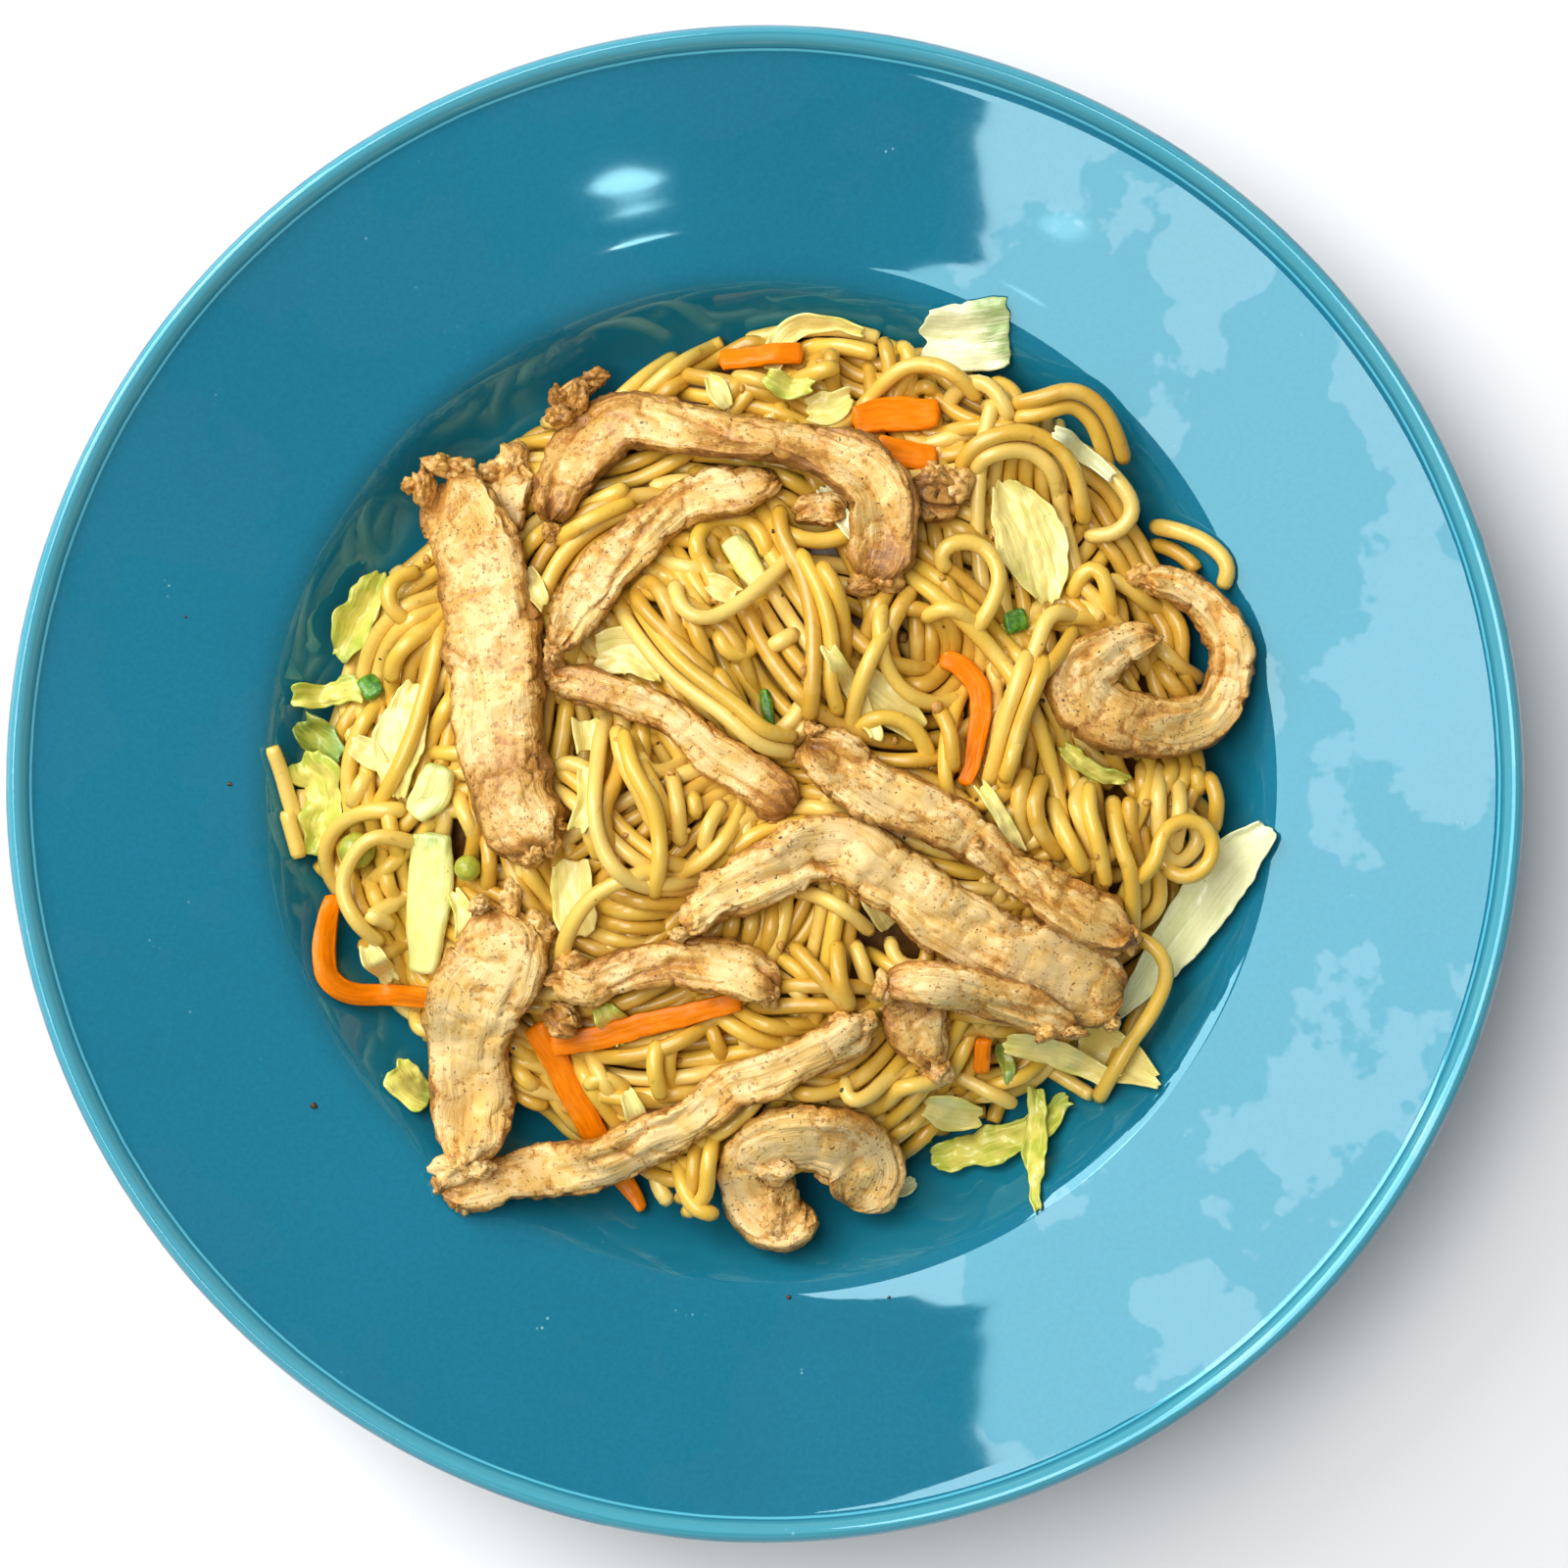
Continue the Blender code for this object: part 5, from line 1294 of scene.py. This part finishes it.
class Wire:
    """A node's output. Python's operators on it add Math nodes."""

    def __init__(self, graph, socket):
        self.graph = graph
        self.socket = socket

    def __add__(self, other):
        return self.graph.math("ADD", self, other)

    __radd__ = __add__

    def __sub__(self, other):
        return self.graph.math("SUBTRACT", self, other)

    def __rsub__(self, other):
        return self.graph.math("SUBTRACT", other, self)

    def __mul__(self, other):
        return self.graph.math("MULTIPLY", self, other)

    __rmul__ = __mul__


class Graph:
    """The nodes of one Principled material."""

    def __init__(self, name, **constants):
        self.material = bpy.data.materials.new(name)
        self.material.use_nodes = True
        self.tree = self.material.node_tree
        self.shader = self.tree.nodes["Principled BSDF"]
        for key, value in constants.items():
            self.shader.inputs[key.replace("_", " ").title().replace("Ior", "IOR")].default_value = value

    def node(self, kind, settings=None, sockets=None, out=0):
        """A node of a type with its settings, and the values or links of its sockets."""
        made = self.tree.nodes.new(kind)
        for key, value in (settings or {}).items():
            setattr(made, key, value)
        for key, value in (sockets or {}).items():
            self.feed(made.inputs[key], value)
        return Wire(self, made.outputs[out])

    def feed(self, socket, value):
        """Links a wire to a socket, or sets the socket's value."""
        if isinstance(value, Wire):
            self.tree.links.new(value.socket, socket)
        else:
            default = socket.default_value
            if hasattr(default, "__len__") and len(default) == 4 and len(value) == 3:
                value = (*value, 1.0)
            socket.default_value = value

    def math(self, operation, first, second=0.0):
        """A Math node."""
        return self.node("ShaderNodeMath", {"operation": operation}, {0: first, 1: second})

    def step(self, value, low, high, start=0.0, end=1.0):
        """A value eased from start to end as it goes from low to high."""
        return self.node(
            "ShaderNodeMapRange",
            {"interpolation_type": "SMOOTHSTEP"},
            {"Value": value, "From Min": low, "From Max": high, "To Min": start, "To Max": end},
        )

    def band(self, value, start, full, fades, end):
        """1 where a value lies from full to fades, easing to 0 at start and at end."""
        return self.step(value, start, full) * self.step(value, end, fades)

    def mix(self, factor, first, second):
        """Two colours mixed."""
        settings = {"data_type": "RGBA", "blend_type": "MIX"}
        return self.node("ShaderNodeMix", settings, {0: factor, 6: first, 7: second}, out=2)

    def places(self):
        """Object coordinates in millimetres."""
        at = self.node("ShaderNodeTexCoord", out=3)
        return self.scaled(at, (1000.0, 1000.0, 1000.0))

    def scaled(self, vector, factors):
        """A vector stretched along its axes."""
        return self.node("ShaderNodeVectorMath", {"operation": "MULTIPLY"}, {0: vector, 1: factors})

    def attribute(self, name, vector=False):
        """A value that the mesh keeps for each vertex."""
        return self.node("ShaderNodeAttribute", {"attribute_name": name}, out=1 if vector else 2)

    def noise(self, places, size, detail=2.0, roughness=0.5):
        """Noise from 0 to 1 whose features are about so many millimetres."""
        sockets = {"Vector": places, "Scale": 1.0 / size, "Detail": detail, "Roughness": roughness}
        return self.node("ShaderNodeTexNoise", None, sockets)

    def specks(self, places, size):
        """The distance to the nearest of many scattered points, as a share of the size."""
        sockets = {"Vector": places, "Scale": 1.0 / size}
        return self.node("ShaderNodeTexVoronoi", None, sockets)

    def bump(self, height, distance, strength):
        """A relief of so many millimetres for the Normal socket."""
        sockets = {"Strength": strength, "Distance": distance * MM, "Height": height}
        return self.node("ShaderNodeBump", None, sockets)

    def finish(self, colour, roughness, normal, coat=None):
        """Links what changes over the surface, and returns the material."""
        self.feed(self.shader.inputs["Base Color"], colour)
        self.feed(self.shader.inputs["Roughness"], roughness)
        self.feed(self.shader.inputs["Normal"], normal)
        if coat is not None:
            self.feed(self.shader.inputs["Coat Weight"], coat)
        return self.material


def tinted(colour, factor, lift=0.0):
    """A colour made darker or lighter."""
    return tuple(min(1.0, c * factor + lift) for c in colour)


def glaze_material():
    """Teal glaze: glossy, faintly grained, lighter where it is thin on the lip, with a painted highlight line
    just inside the lip and painted light in the well, bare on the foot.
    """
    dish = settings()
    g = Graph("teal_glaze", ior=1.6, specular_ior_level=0.68, specular_tint=GLAZE_TINT, coat_roughness=0.02)
    at = g.places()
    split = g.node("ShaderNodeSeparateXYZ", None, {0: at})
    x, y, z = (Wire(g, split.socket.node.outputs[k]) for k in range(3))
    radius = g.math("SQRT", x * x + y * y)
    drift = g.noise(at, 45.0, 2.0)
    grain = g.noise(at, 0.9, 3.0, 0.7)
    mottle = g.step(grain, 0.3, 0.7) * 0.55 + g.step(drift, 0.3, 0.7) * 0.35
    base = g.mix(mottle, tinted(dish.glaze_colour, 0.9), tinted(dish.glaze_colour, 1.12))
    # The well is mixed towards a lighter colour: painted light, standing in for the light that the heap keeps
    # off the well.
    base = g.mix(g.step(radius, *WELL_EDGE) * 0.7, base, tuple(dish.well_painted_light_colour))
    edge = radius + g.noise(at, 20.0, 2.0) * 0.35 + g.noise(at, 2.5, 3.0) * 0.12
    base = g.mix(g.band(edge, *THIN_LIP) * 0.8, base, tuple(dish.lip_colour))
    # A thin light line just inside the lip: a painted highlight, also raised a little in the bump.
    painted_highlight_line = g.band(edge, *LIP_HIGHLIGHT_LINE)
    base = g.mix(painted_highlight_line * 0.75, base, tinted(dish.lip_colour, 1.5))
    grooves = g.band(edge, *LIP_GROOVES[0]) + g.band(edge, *LIP_GROOVES[1])
    base = g.mix(grooves * 0.45, base, GROOVE_COLOUR)
    dried = g.step(g.specks(at, 1.7), 0.22, 0.1) * g.step(g.noise(at, 11.0, 3.0), 0.66, 0.72)
    base = g.mix(dried * 0.5, base, DRIED_COLOUR)
    foot = g.step(z, *FOOT_EDGE)
    base = g.mix(foot * 0.9, base, CLAY_COLOUR)
    rough = g.step(grain, 0.2, 0.8, 0.02, 0.035) + foot * 0.5 + dried * 0.3
    normal = g.bump(g.noise(at, 22.0, 1.0) + grain * 0.006 + painted_highlight_line * 0.05, 0.16, 0.12)
    outward = g.step(radius, 106.0, 131.0) * 0.07
    film = g.step(g.noise(at, 34.0, 5.0, 0.55) + outward, 0.54, 0.56) * 0.42
    return g.finish(base, rough, normal, film)


def noodle_material():
    """Wheat noodle: warm yellow with a film of sauce, browner in places, each strand its own tone."""
    dish = settings()
    g = Graph("noodle", coat_weight=0.5, coat_roughness=0.2)
    at = g.places()
    tone = g.attribute("tone")
    along = g.attribute("along")
    deep = tuple(dish.noodle_deep_colour)
    light = tuple(dish.noodle_pale_colour)
    base = g.mix(g.step(tone, 0.0, 0.6), deep, tuple(dish.noodle_colour))
    base = g.mix(g.step(tone, 0.62, 1.0) * 0.8, base, light)
    cloud = g.noise(at, 6.0, 2.0)
    base = g.mix(g.step(cloud, 0.5, 0.75) * 0.5, base, light)
    drift = g.noise(at, 22.0, 2.0)
    base = g.mix(g.step(drift, 0.52, 0.7) * 0.35, base, deep)
    brown = g.step(g.noise(at, 2.6, 2.0), 0.64, 0.78) * 0.45
    base = g.mix(brown, base, NOODLE_BROWN)
    speck = g.step(g.specks(at, 3.4), 0.09, 0.05) * g.step(g.noise(at, 7.0), 0.56, 0.62)
    base = g.mix(speck * 0.7, base, NOODLE_SPECK)
    ribs = g.math("SINE", along * 0.9) * 0.25
    skin = g.noise(at, 0.9, 2.0)
    rough = g.step(g.noise(at, 4.0), 0.3, 0.7, 0.28, 0.48)
    return g.finish(base, rough, g.bump(skin + ribs * 0.2, 0.12, 0.6))


def meat_material():
    """Fried chicken meat: cream fibres, crisp browned patches, rims and ends, creases darkened partly by
    browning and partly as painted shade, and pepper.
    """
    dish = settings()
    g = Graph("chicken_meat", coat_weight=0.28, coat_roughness=0.24, specular_ior_level=0.4)
    at = g.places()
    grain = g.attribute("grain", vector=True)
    outer = g.attribute("outer")
    brown = g.attribute("brown")
    hollow_shade_and_browning = g.attribute("hollow_shade_and_browning")
    fibres = g.noise(g.scaled(grain, (0.10, 1.0, 0.8)), 1.0, 3.0, 0.6)
    cloud = g.noise(at, 7.0, 3.0, 0.6)
    crust = g.noise(at, 2.6, 4.0, 0.75)
    fine = g.noise(at, 0.8, 2.0, 0.7)
    base = g.mix(g.step(fibres, 0.3, 0.62), tuple(dish.meat_shade_colour), tuple(dish.meat_colour))
    base = g.mix(g.step(cloud, 0.4, 0.58) * 0.85, base, tuple(dish.meat_pale_colour))
    patches = g.noise(at, 8.0, 2.0)
    browning_and_shade = crust * 0.7 + patches * 0.3 + outer * 0.44 + (brown - 0.35) * 0.5
    # Creases and hollows darken further: partly browning, partly painted shade.
    browning_and_shade = browning_and_shade + hollow_shade_and_browning * 0.3 + (fine - 0.5) * 0.35
    base = g.mix(g.step(browning_and_shade, 0.60, 0.76) * 0.75, base, tuple(dish.browned_colour))
    base = g.mix(g.step(browning_and_shade, 0.78, 0.94) * 0.85, base, MEAT_CRISP)
    base = g.mix(g.step(browning_and_shade, 1.0, 1.14) * 0.8, base, MEAT_CHAR)
    dense = outer * 0.10 + patches * 0.16 + (brown - 0.35) * 0.06
    dots = g.step(g.noise(at, 1.1, 3.0, 0.6) + dense, 0.685, 0.75)
    base = g.mix(dots * 0.7, base, MEAT_DOT)
    pepper = g.step(g.noise(at, 0.9, 1.0), 0.70, 0.735) * g.step(g.noise(at, 6.0, 2.0), 0.44, 0.54)
    base = g.mix(pepper * 0.9, base, PEPPER_DOT)
    rough = g.step(cloud, 0.3, 0.7, 0.38, 0.58)
    relief = fibres * 1.1 + crust * 0.2 + fine * 0.12 + browning_and_shade * 0.12 + dots * 0.1
    return g.finish(base, rough, g.bump(relief, 0.5, 0.9))


def carrot_material():
    """Cooked carrot: moist orange, paler core lines, browned ends."""
    g = Graph("carrot", coat_weight=0.04, coat_roughness=0.2, specular_ior_level=0.2)
    at = g.places()
    grain = g.attribute("grain", vector=True)
    outer = g.attribute("outer")
    lines = g.noise(g.scaled(grain, (0.2, 1.4, 1.0)), 1.0, 3.0)
    fresh = settings().carrot_colour
    base = g.mix(g.step(lines, 0.3, 0.7), tinted(fresh, 0.8), tuple(fresh))
    base = g.mix(g.step(g.noise(at, 3.0, 2.0), 0.55, 0.75) * 0.5, base, CARROT_PALE)
    char = g.step(outer * 0.6 + g.noise(at, 2.0, 3.0), 0.95, 1.2)
    base = g.mix(char * 0.6, base, CARROT_CHAR)
    rough = g.step(lines, 0.3, 0.7, 0.25, 0.42)
    return g.finish(base, rough, g.bump(lines, 0.25, 0.7))


def leaf_material(name, colour, green, share):
    """Wilted cabbage: pale and moist, with fine parallel veins, greener towards one end."""
    g = Graph(name, coat_weight=0.45, coat_roughness=0.18)
    at = g.places()
    grain = g.attribute("grain", vector=True)
    outer = g.attribute("outer")
    verdure = g.attribute("verdure")
    cloud = g.noise(at, 5.0, 3.0)
    base = g.mix(g.step(cloud + outer * share * 0.4, 0.75 - share * 0.6, 1.0 - share * 0.6), colour, green)
    leafy = g.step(verdure + (g.noise(at, 3.0, 4.0, 0.6) - 0.5) * 0.9, 0.3, 0.85)
    base = g.mix(leafy * 0.75, base, LEAF_GREEN)
    veins = g.noise(g.scaled(grain, (0.10, 1.3, 1.0)), 1.0, 3.0, 0.6)
    base = g.mix(g.step(veins, 0.5, 0.62) * 0.45, base, tinted(colour, 1.2, 0.08))
    spot = g.step(g.noise(at, 1.8, 3.0), 0.68, 0.76)
    base = g.mix(spot * 0.5, base, LEAF_BROWN)
    rough = g.step(veins, 0.3, 0.7, 0.24, 0.42)
    return g.finish(base, rough, g.bump(veins + g.noise(at, 1.0, 2.0) * 0.3, 0.35, 0.8))


def plain_material(name):
    """A finely mottled finish for peas, crumbs, onion and the core, whose dark colour is painted shade."""
    colour, dark, size, roughness = PLAIN_FINISH[name]
    g = Graph(name, coat_weight=0.25, coat_roughness=0.2)
    at = g.places()
    cloud = g.noise(at, size, 4.0, 0.6)
    base = g.mix(g.step(cloud, 0.35, 0.65), dark, colour)
    fine = g.noise(at, size / 4, 3.0)
    base = g.mix(g.step(fine, 0.6, 0.75) * 0.3, base, tinted(colour, 1.3))
    rough = g.step(fine, 0.3, 0.7, roughness - 0.08, roughness + 0.1)
    return g.finish(base, rough, g.bump(fine, 0.15, 0.6))


def floor_material():
    """A pale, even tabletop with the faintest unevenness."""
    g = Graph("pale_floor")
    at = g.places()
    cloud = g.noise(at, 90.0, 2.0)
    base = g.mix(g.step(cloud, 0.3, 0.7), *FLOOR_COLOURS)
    return g.finish(base, g.step(cloud, 0.3, 0.7, 0.7, 0.75), g.bump(cloud, 0.05, 0.2))


def colour(name, description, default):
    """A colour in the sidebar."""
    return bpy.props.FloatVectorProperty(
        name=name, description=description, default=default, subtype="COLOR", size=3
    )


class NoodleDishSettings(bpy.types.PropertyGroup):
    """The sizes and colours that a user would change."""

    noodle_diameter: bpy.props.FloatProperty(
        name="Noodle diameter", description="Thickness of a noodle", default=0.003, unit="LENGTH"
    )
    noodle_colour: colour("Noodle", "Main colour of the noodles", (0.80, 0.50, 0.055))
    noodle_deep_colour: colour("Noodle, sauced", "Colour of the noodles with more sauce", (0.62, 0.34, 0.03))
    noodle_pale_colour: colour("Noodle, pale", "Colour of the palest noodles", (0.88, 0.64, 0.17))
    glaze_colour: colour("Glaze", "Colour of the plate's rim", (0.007, 0.156, 0.244))
    # The well's colour is lighter than the rim's: painted light.
    well_painted_light_colour: colour("Well", "Colour of the plate's well", (0.012, 0.182, 0.262))
    lip_colour: colour("Lip", "Colour of the thin glaze on the lip", (0.09, 0.40, 0.50))
    meat_colour: colour("Chicken", "Main colour of the chicken", (0.84, 0.565, 0.19))
    meat_shade_colour: colour("Chicken, shade", "Colour between the fibres", (0.76, 0.45, 0.11))
    meat_pale_colour: colour("Chicken, pale", "Colour of the palest meat", (0.86, 0.625, 0.28))
    browned_colour: colour("Chicken, browned", "Colour of the lightly browned meat", (0.65, 0.335, 0.058))
    carrot_colour: colour("Carrot", "Colour of the carrot", (0.95, 0.235, 0.0))
    camera_height: bpy.props.FloatProperty(
        name="Camera height", description="Height of the camera over the rim", default=0.65, unit="LENGTH"
    )
    light_power: bpy.props.FloatProperty(
        name="Light", description="Power of the large soft light, in watts", default=16.5, unit="POWER"
    )


class DISH_OT_plate(bpy.types.Operator):
    """Turn the plate's profile into a glazed plate"""

    bl_idname = "dish.plate"
    bl_label = "Plate"

    def execute(self, context):
        start()
        profile = smooth_profile()
        bpy.ops.mesh.primitive_circle_add(vertices=PLATE_SIDES, radius=profile[0][0] * MM)
        plate = context.active_object
        bpy.ops.object.mode_set(mode="EDIT")
        bpy.ops.mesh.select_all(action="SELECT")
        bpy.ops.transform.translate(value=(0, 0, profile[0][1] * MM))
        for (before, low), (radius, height) in zip(profile, profile[1:]):
            bpy.ops.mesh.extrude_edges_move()
            bpy.ops.transform.resize(value=(radius / before, radius / before, 1), center_override=(0, 0, 0))
            bpy.ops.transform.translate(value=(0, 0, (height - low) * MM))
        bpy.ops.mesh.edge_face_add()
        bpy.ops.mesh.select_all(action="SELECT")
        bpy.ops.mesh.select_non_manifold()
        bpy.ops.mesh.edge_face_add()
        bpy.ops.mesh.select_all(action="SELECT")
        bpy.ops.mesh.normals_make_consistent(inside=False)
        bpy.ops.object.mode_set(mode="OBJECT")
        face_outward(plate)
        finish_piece(plate, "glazed_plate", glaze_material(), ["plate"])
        return {"FINISHED"}


def even_points(stations, step):
    """Points of a smooth curve through stations, about a step apart."""
    length = spline_route(stations, 3)[3]
    points = spline_route(stations, int(length / step))[0]
    return [(float(radius), float(height)) for radius, height in points]


def smooth_profile():
    """The plate's profile as close points, from the floor over the lip to the underside."""
    top = even_points(PLATE_TOP[1:], PROFILE_STEP)
    under = even_points(PLATE_TOP[-2:] + PLATE_UNDER[:UNDER_RIM_POINTS], UNDER_STEP)
    past_lip = [p for p in under if p[0] >= PLATE_TOP[-1][0] or p[1] <= LIP_LOWEST]
    under = [(min(radius, OUTERMOST), height) for radius, height in past_lip]
    return [*PLATE_FLOOR, *top, *under, *PLATE_FOOT]


# The heights of the laid noodles, which the shreds and crumbs lie on.
LAID = []


class DISH_OT_noodles(bpy.types.Operator):
    """Heap the noodles strand by strand over their core"""

    bl_idname = "dish.noodles"
    bl_label = "Noodles"

    def execute(self, context):
        paths, relief = lay_noodles()
        material = noodle_material()
        for number, first in enumerate(range(0, len(paths), STRANDS_IN_PIECE)):
            part = tubes_object(f"noodle_strands_{number}", paths[first : first + STRANDS_IN_PIECE])
            nodes = ["noodles"] if number == 0 else []
            finish_piece(part, part.name, material, nodes)
        finish_piece(noodle_shade_core(), "noodle_shade_core", plain_material("noodle_shade_core"))
        LAID.append(relief)
        return {"FINISHED"}


class DISH_OT_chicken(bpy.types.Operator):
    """Lay the fried chicken strips"""

    bl_idname = "dish.chicken"
    bl_label = "Chicken"

    def execute(self, context):
        material = meat_material()
        for number, (node, (thickness, browning, stations)) in enumerate(CHICKEN.items()):
            piece = meat_strip(node, thickness, stations, browning, number)
            finish_piece(piece, f"{node}_meat", material, [node])
        return {"FINISHED"}


class DISH_OT_carrot(bpy.types.Operator):
    """Lay the carrot shreds"""

    bl_idname = "dish.carrot"
    bl_label = "Carrot"

    def execute(self, context):
        material = carrot_material()
        for number, (node, stations) in enumerate(CARROT.items()):
            piece = firm_strip(node, CARROT_THICKNESS, stations, CARROT_SQUARE, number)
            finish_piece(piece, f"{node}_shred", material, [node])
        return {"FINISHED"}


class DISH_OT_cabbage(bpy.types.Operator):
    """Lay the cabbage leaves and stalks"""

    bl_idname = "dish.cabbage"
    bl_label = "Cabbage"

    def execute(self, context):
        finishes = {kind: leaf_material(f"cabbage_{kind}", *look) for kind, look in LEAF_FINISH.items()}
        for number, (node, (kind, stations)) in enumerate(LEAF.items()):
            piece = leaf_sheet(Route(stations, 40).in_node(node), number, kind)
            finish_piece(piece, f"{node}_leaf", finishes[kind], [node])
        for number, (node, stations) in enumerate(STALK.items()):
            piece = firm_strip(node, STALK_THICKNESS, stations, STALK_SQUARE, number + 30)
            finish_piece(piece, f"{node}_cut", finishes["stalk"], [node])
        for number, (kind, stations) in enumerate(SHREDS):
            piece = leaf_sheet(Route(stations, 30).on_relief(LAID[0]), number + 70, kind)
            finish_piece(piece, f"cabbage_shred_{number}", finishes[kind])
        return {"FINISHED"}


class DISH_OT_greens(bpy.types.Operator):
    """Lay the green onion pieces and the peas"""

    bl_idname = "dish.greens"
    bl_label = "Green onion and peas"

    def execute(self, context):
        onion = plain_material("green_onion")
        for number, (node, stations) in enumerate(SCALLION.items()):
            piece = firm_strip(node, SCALLION_THICKNESS, stations, SCALLION_SQUARE, number + 50)
            finish_piece(piece, f"{node}_cut", onion, [node])
        skin = plain_material("pea_skin")
        for number, node in enumerate(PEAS):
            finish_piece(pea_piece(node, number), f"{node}_cooked", skin, [node])
        return {"FINISHED"}


class DISH_OT_crumbs(bpy.types.Operator):
    """Scatter the crumbs of fried garlic and pepper on the food, and a few specks on the rim"""

    bl_idname = "dish.crumbs"
    bl_label = "Crumbs"

    def execute(self, context):
        draw = np.random.RandomState(SEED + 1)
        groups = {kind: [] for kind in CRUMBS}
        for kind, (count, smallest, largest) in CRUMBS.items():
            for _ in range(count):
                angle = draw.uniform(0, WHOLE_TURN)
                reach = math.sqrt(draw.uniform(0, 1)) * float(heap_outline(angle)) * 0.96
                x = HEAP_CENTRE[0] + reach * math.cos(angle)
                y = HEAP_CENTRE[1] + reach * math.sin(angle)
                height = float(LAID[0].read(np.array((x, y))))
                size = draw.uniform(smallest, largest)
                groups[kind].append((x, y, height + size * 0.1, size))
        for x, y, size in RIM_SPECKS:
            groups["pepper"].append((x, y, float(profile_height(math.hypot(x, y))) + size * 0.12, size))
        garlic = plain_material("fried_garlic")
        pepper = plain_material("pepper_crumb")
        finish_piece(crumb_cluster(groups["garlic"], SEED + 2), "garlic_crumbs", garlic)
        finish_piece(crumb_cluster(groups["pepper"], SEED + 3), "pepper_crumbs", pepper)
        return {"FINISHED"}


def add_light(name, place, shape, size, power):
    """A soft light of a shape and size in metres, facing down."""
    bpy.ops.object.light_add(type="AREA", location=place)
    light = bpy.context.active_object
    light.name = name
    light.data.shape = shape
    light.data.size, light.data.size_y = size
    light.data.energy = power
    return light


class DISH_OT_stage(bpy.types.Operator):
    """Set the pale floor, the soft light and the camera straight above"""

    bl_idname = "dish.stage"
    bl_label = "Stage"

    def execute(self, context):
        dish = settings()
        start()
        bpy.ops.mesh.primitive_plane_add(size=FLOOR_SIZE)
        floor = context.active_object
        floor.name = "floor"
        floor.data.materials.append(floor_material())
        scene = context.scene
        scene.world = bpy.data.worlds.new("soft_room")
        scene.world.use_nodes = True
        room = scene.world.node_tree.nodes["Background"]
        room.inputs["Color"].default_value = ROOM_COLOUR
        room.inputs["Strength"].default_value = ROOM_LIGHT
        add_light("window_light", LIGHT_PLACE, "RECTANGLE", LIGHT_SIZE, dish.light_power)
        side_power = dish.light_power * SIDE_LIGHT_SHARE
        side = add_light("side_light", SIDE_LIGHT_PLACE, "SQUARE", SIDE_LIGHT_SIZE, side_power)
        side.rotation_euler = (-Vector(SIDE_LIGHT_PLACE)).to_track_quat("-Z", "Y").to_euler()
        for number, (place, size, share) in enumerate(zip(LAMP_PLACES, LAMP_SIZES, LAMP_SHARES)):
            add_light(f"small_lamp_{number}", place, "ELLIPSE", size, dish.light_power * share)
        bpy.ops.object.camera_add(location=(CAMERA_EAST, 0, RIM_TOP + dish.camera_height), rotation=(0, 0, 0))
        camera = context.active_object
        camera.name = "camera_above"
        camera.data.sensor_width = SENSOR_WIDTH
        camera.data.lens = camera.data.sensor_width * dish.camera_height / FRAME_WIDTH
        camera.data.clip_start = NEAREST_SEEN
        scene.camera = camera
        scene.view_settings.view_transform = "Standard"
        return {"FINISHED"}


OPERATORS = (
    DISH_OT_plate,
    DISH_OT_noodles,
    DISH_OT_chicken,
    DISH_OT_carrot,
    DISH_OT_cabbage,
    DISH_OT_greens,
    DISH_OT_crumbs,
    DISH_OT_stage,
)


class DISH_PT_noodles(bpy.types.Panel):
    """The dish's settings and its steps"""

    bl_label = "Noodle dish"
    bl_idname = "DISH_PT_noodles"
    bl_space_type = "VIEW_3D"
    bl_region_type = "UI"
    bl_category = "Noodles"

    def draw(self, context):
        for key in NoodleDishSettings.__annotations__:
            self.layout.prop(context.scene.noodle_dish, key)
        for step in OPERATORS:
            self.layout.operator(step.bl_idname)


CLASSES = (NoodleDishSettings, *OPERATORS, DISH_PT_noodles)


def register():
    """Registers the classes and the settings."""
    for item in CLASSES:
        bpy.utils.register_class(item)
    bpy.types.Scene.noodle_dish = bpy.props.PointerProperty(type=NoodleDishSettings)


def unregister():
    """Removes the settings and the classes."""
    del bpy.types.Scene.noodle_dish
    for item in reversed(CLASSES):
        bpy.utils.unregister_class(item)


def main():
    """Runs every step in order."""
    register()
    for step in OPERATORS:
        family, name = step.bl_idname.split(".")
        getattr(getattr(bpy.ops, family), name)()


if __name__ == "__main__":
    main()
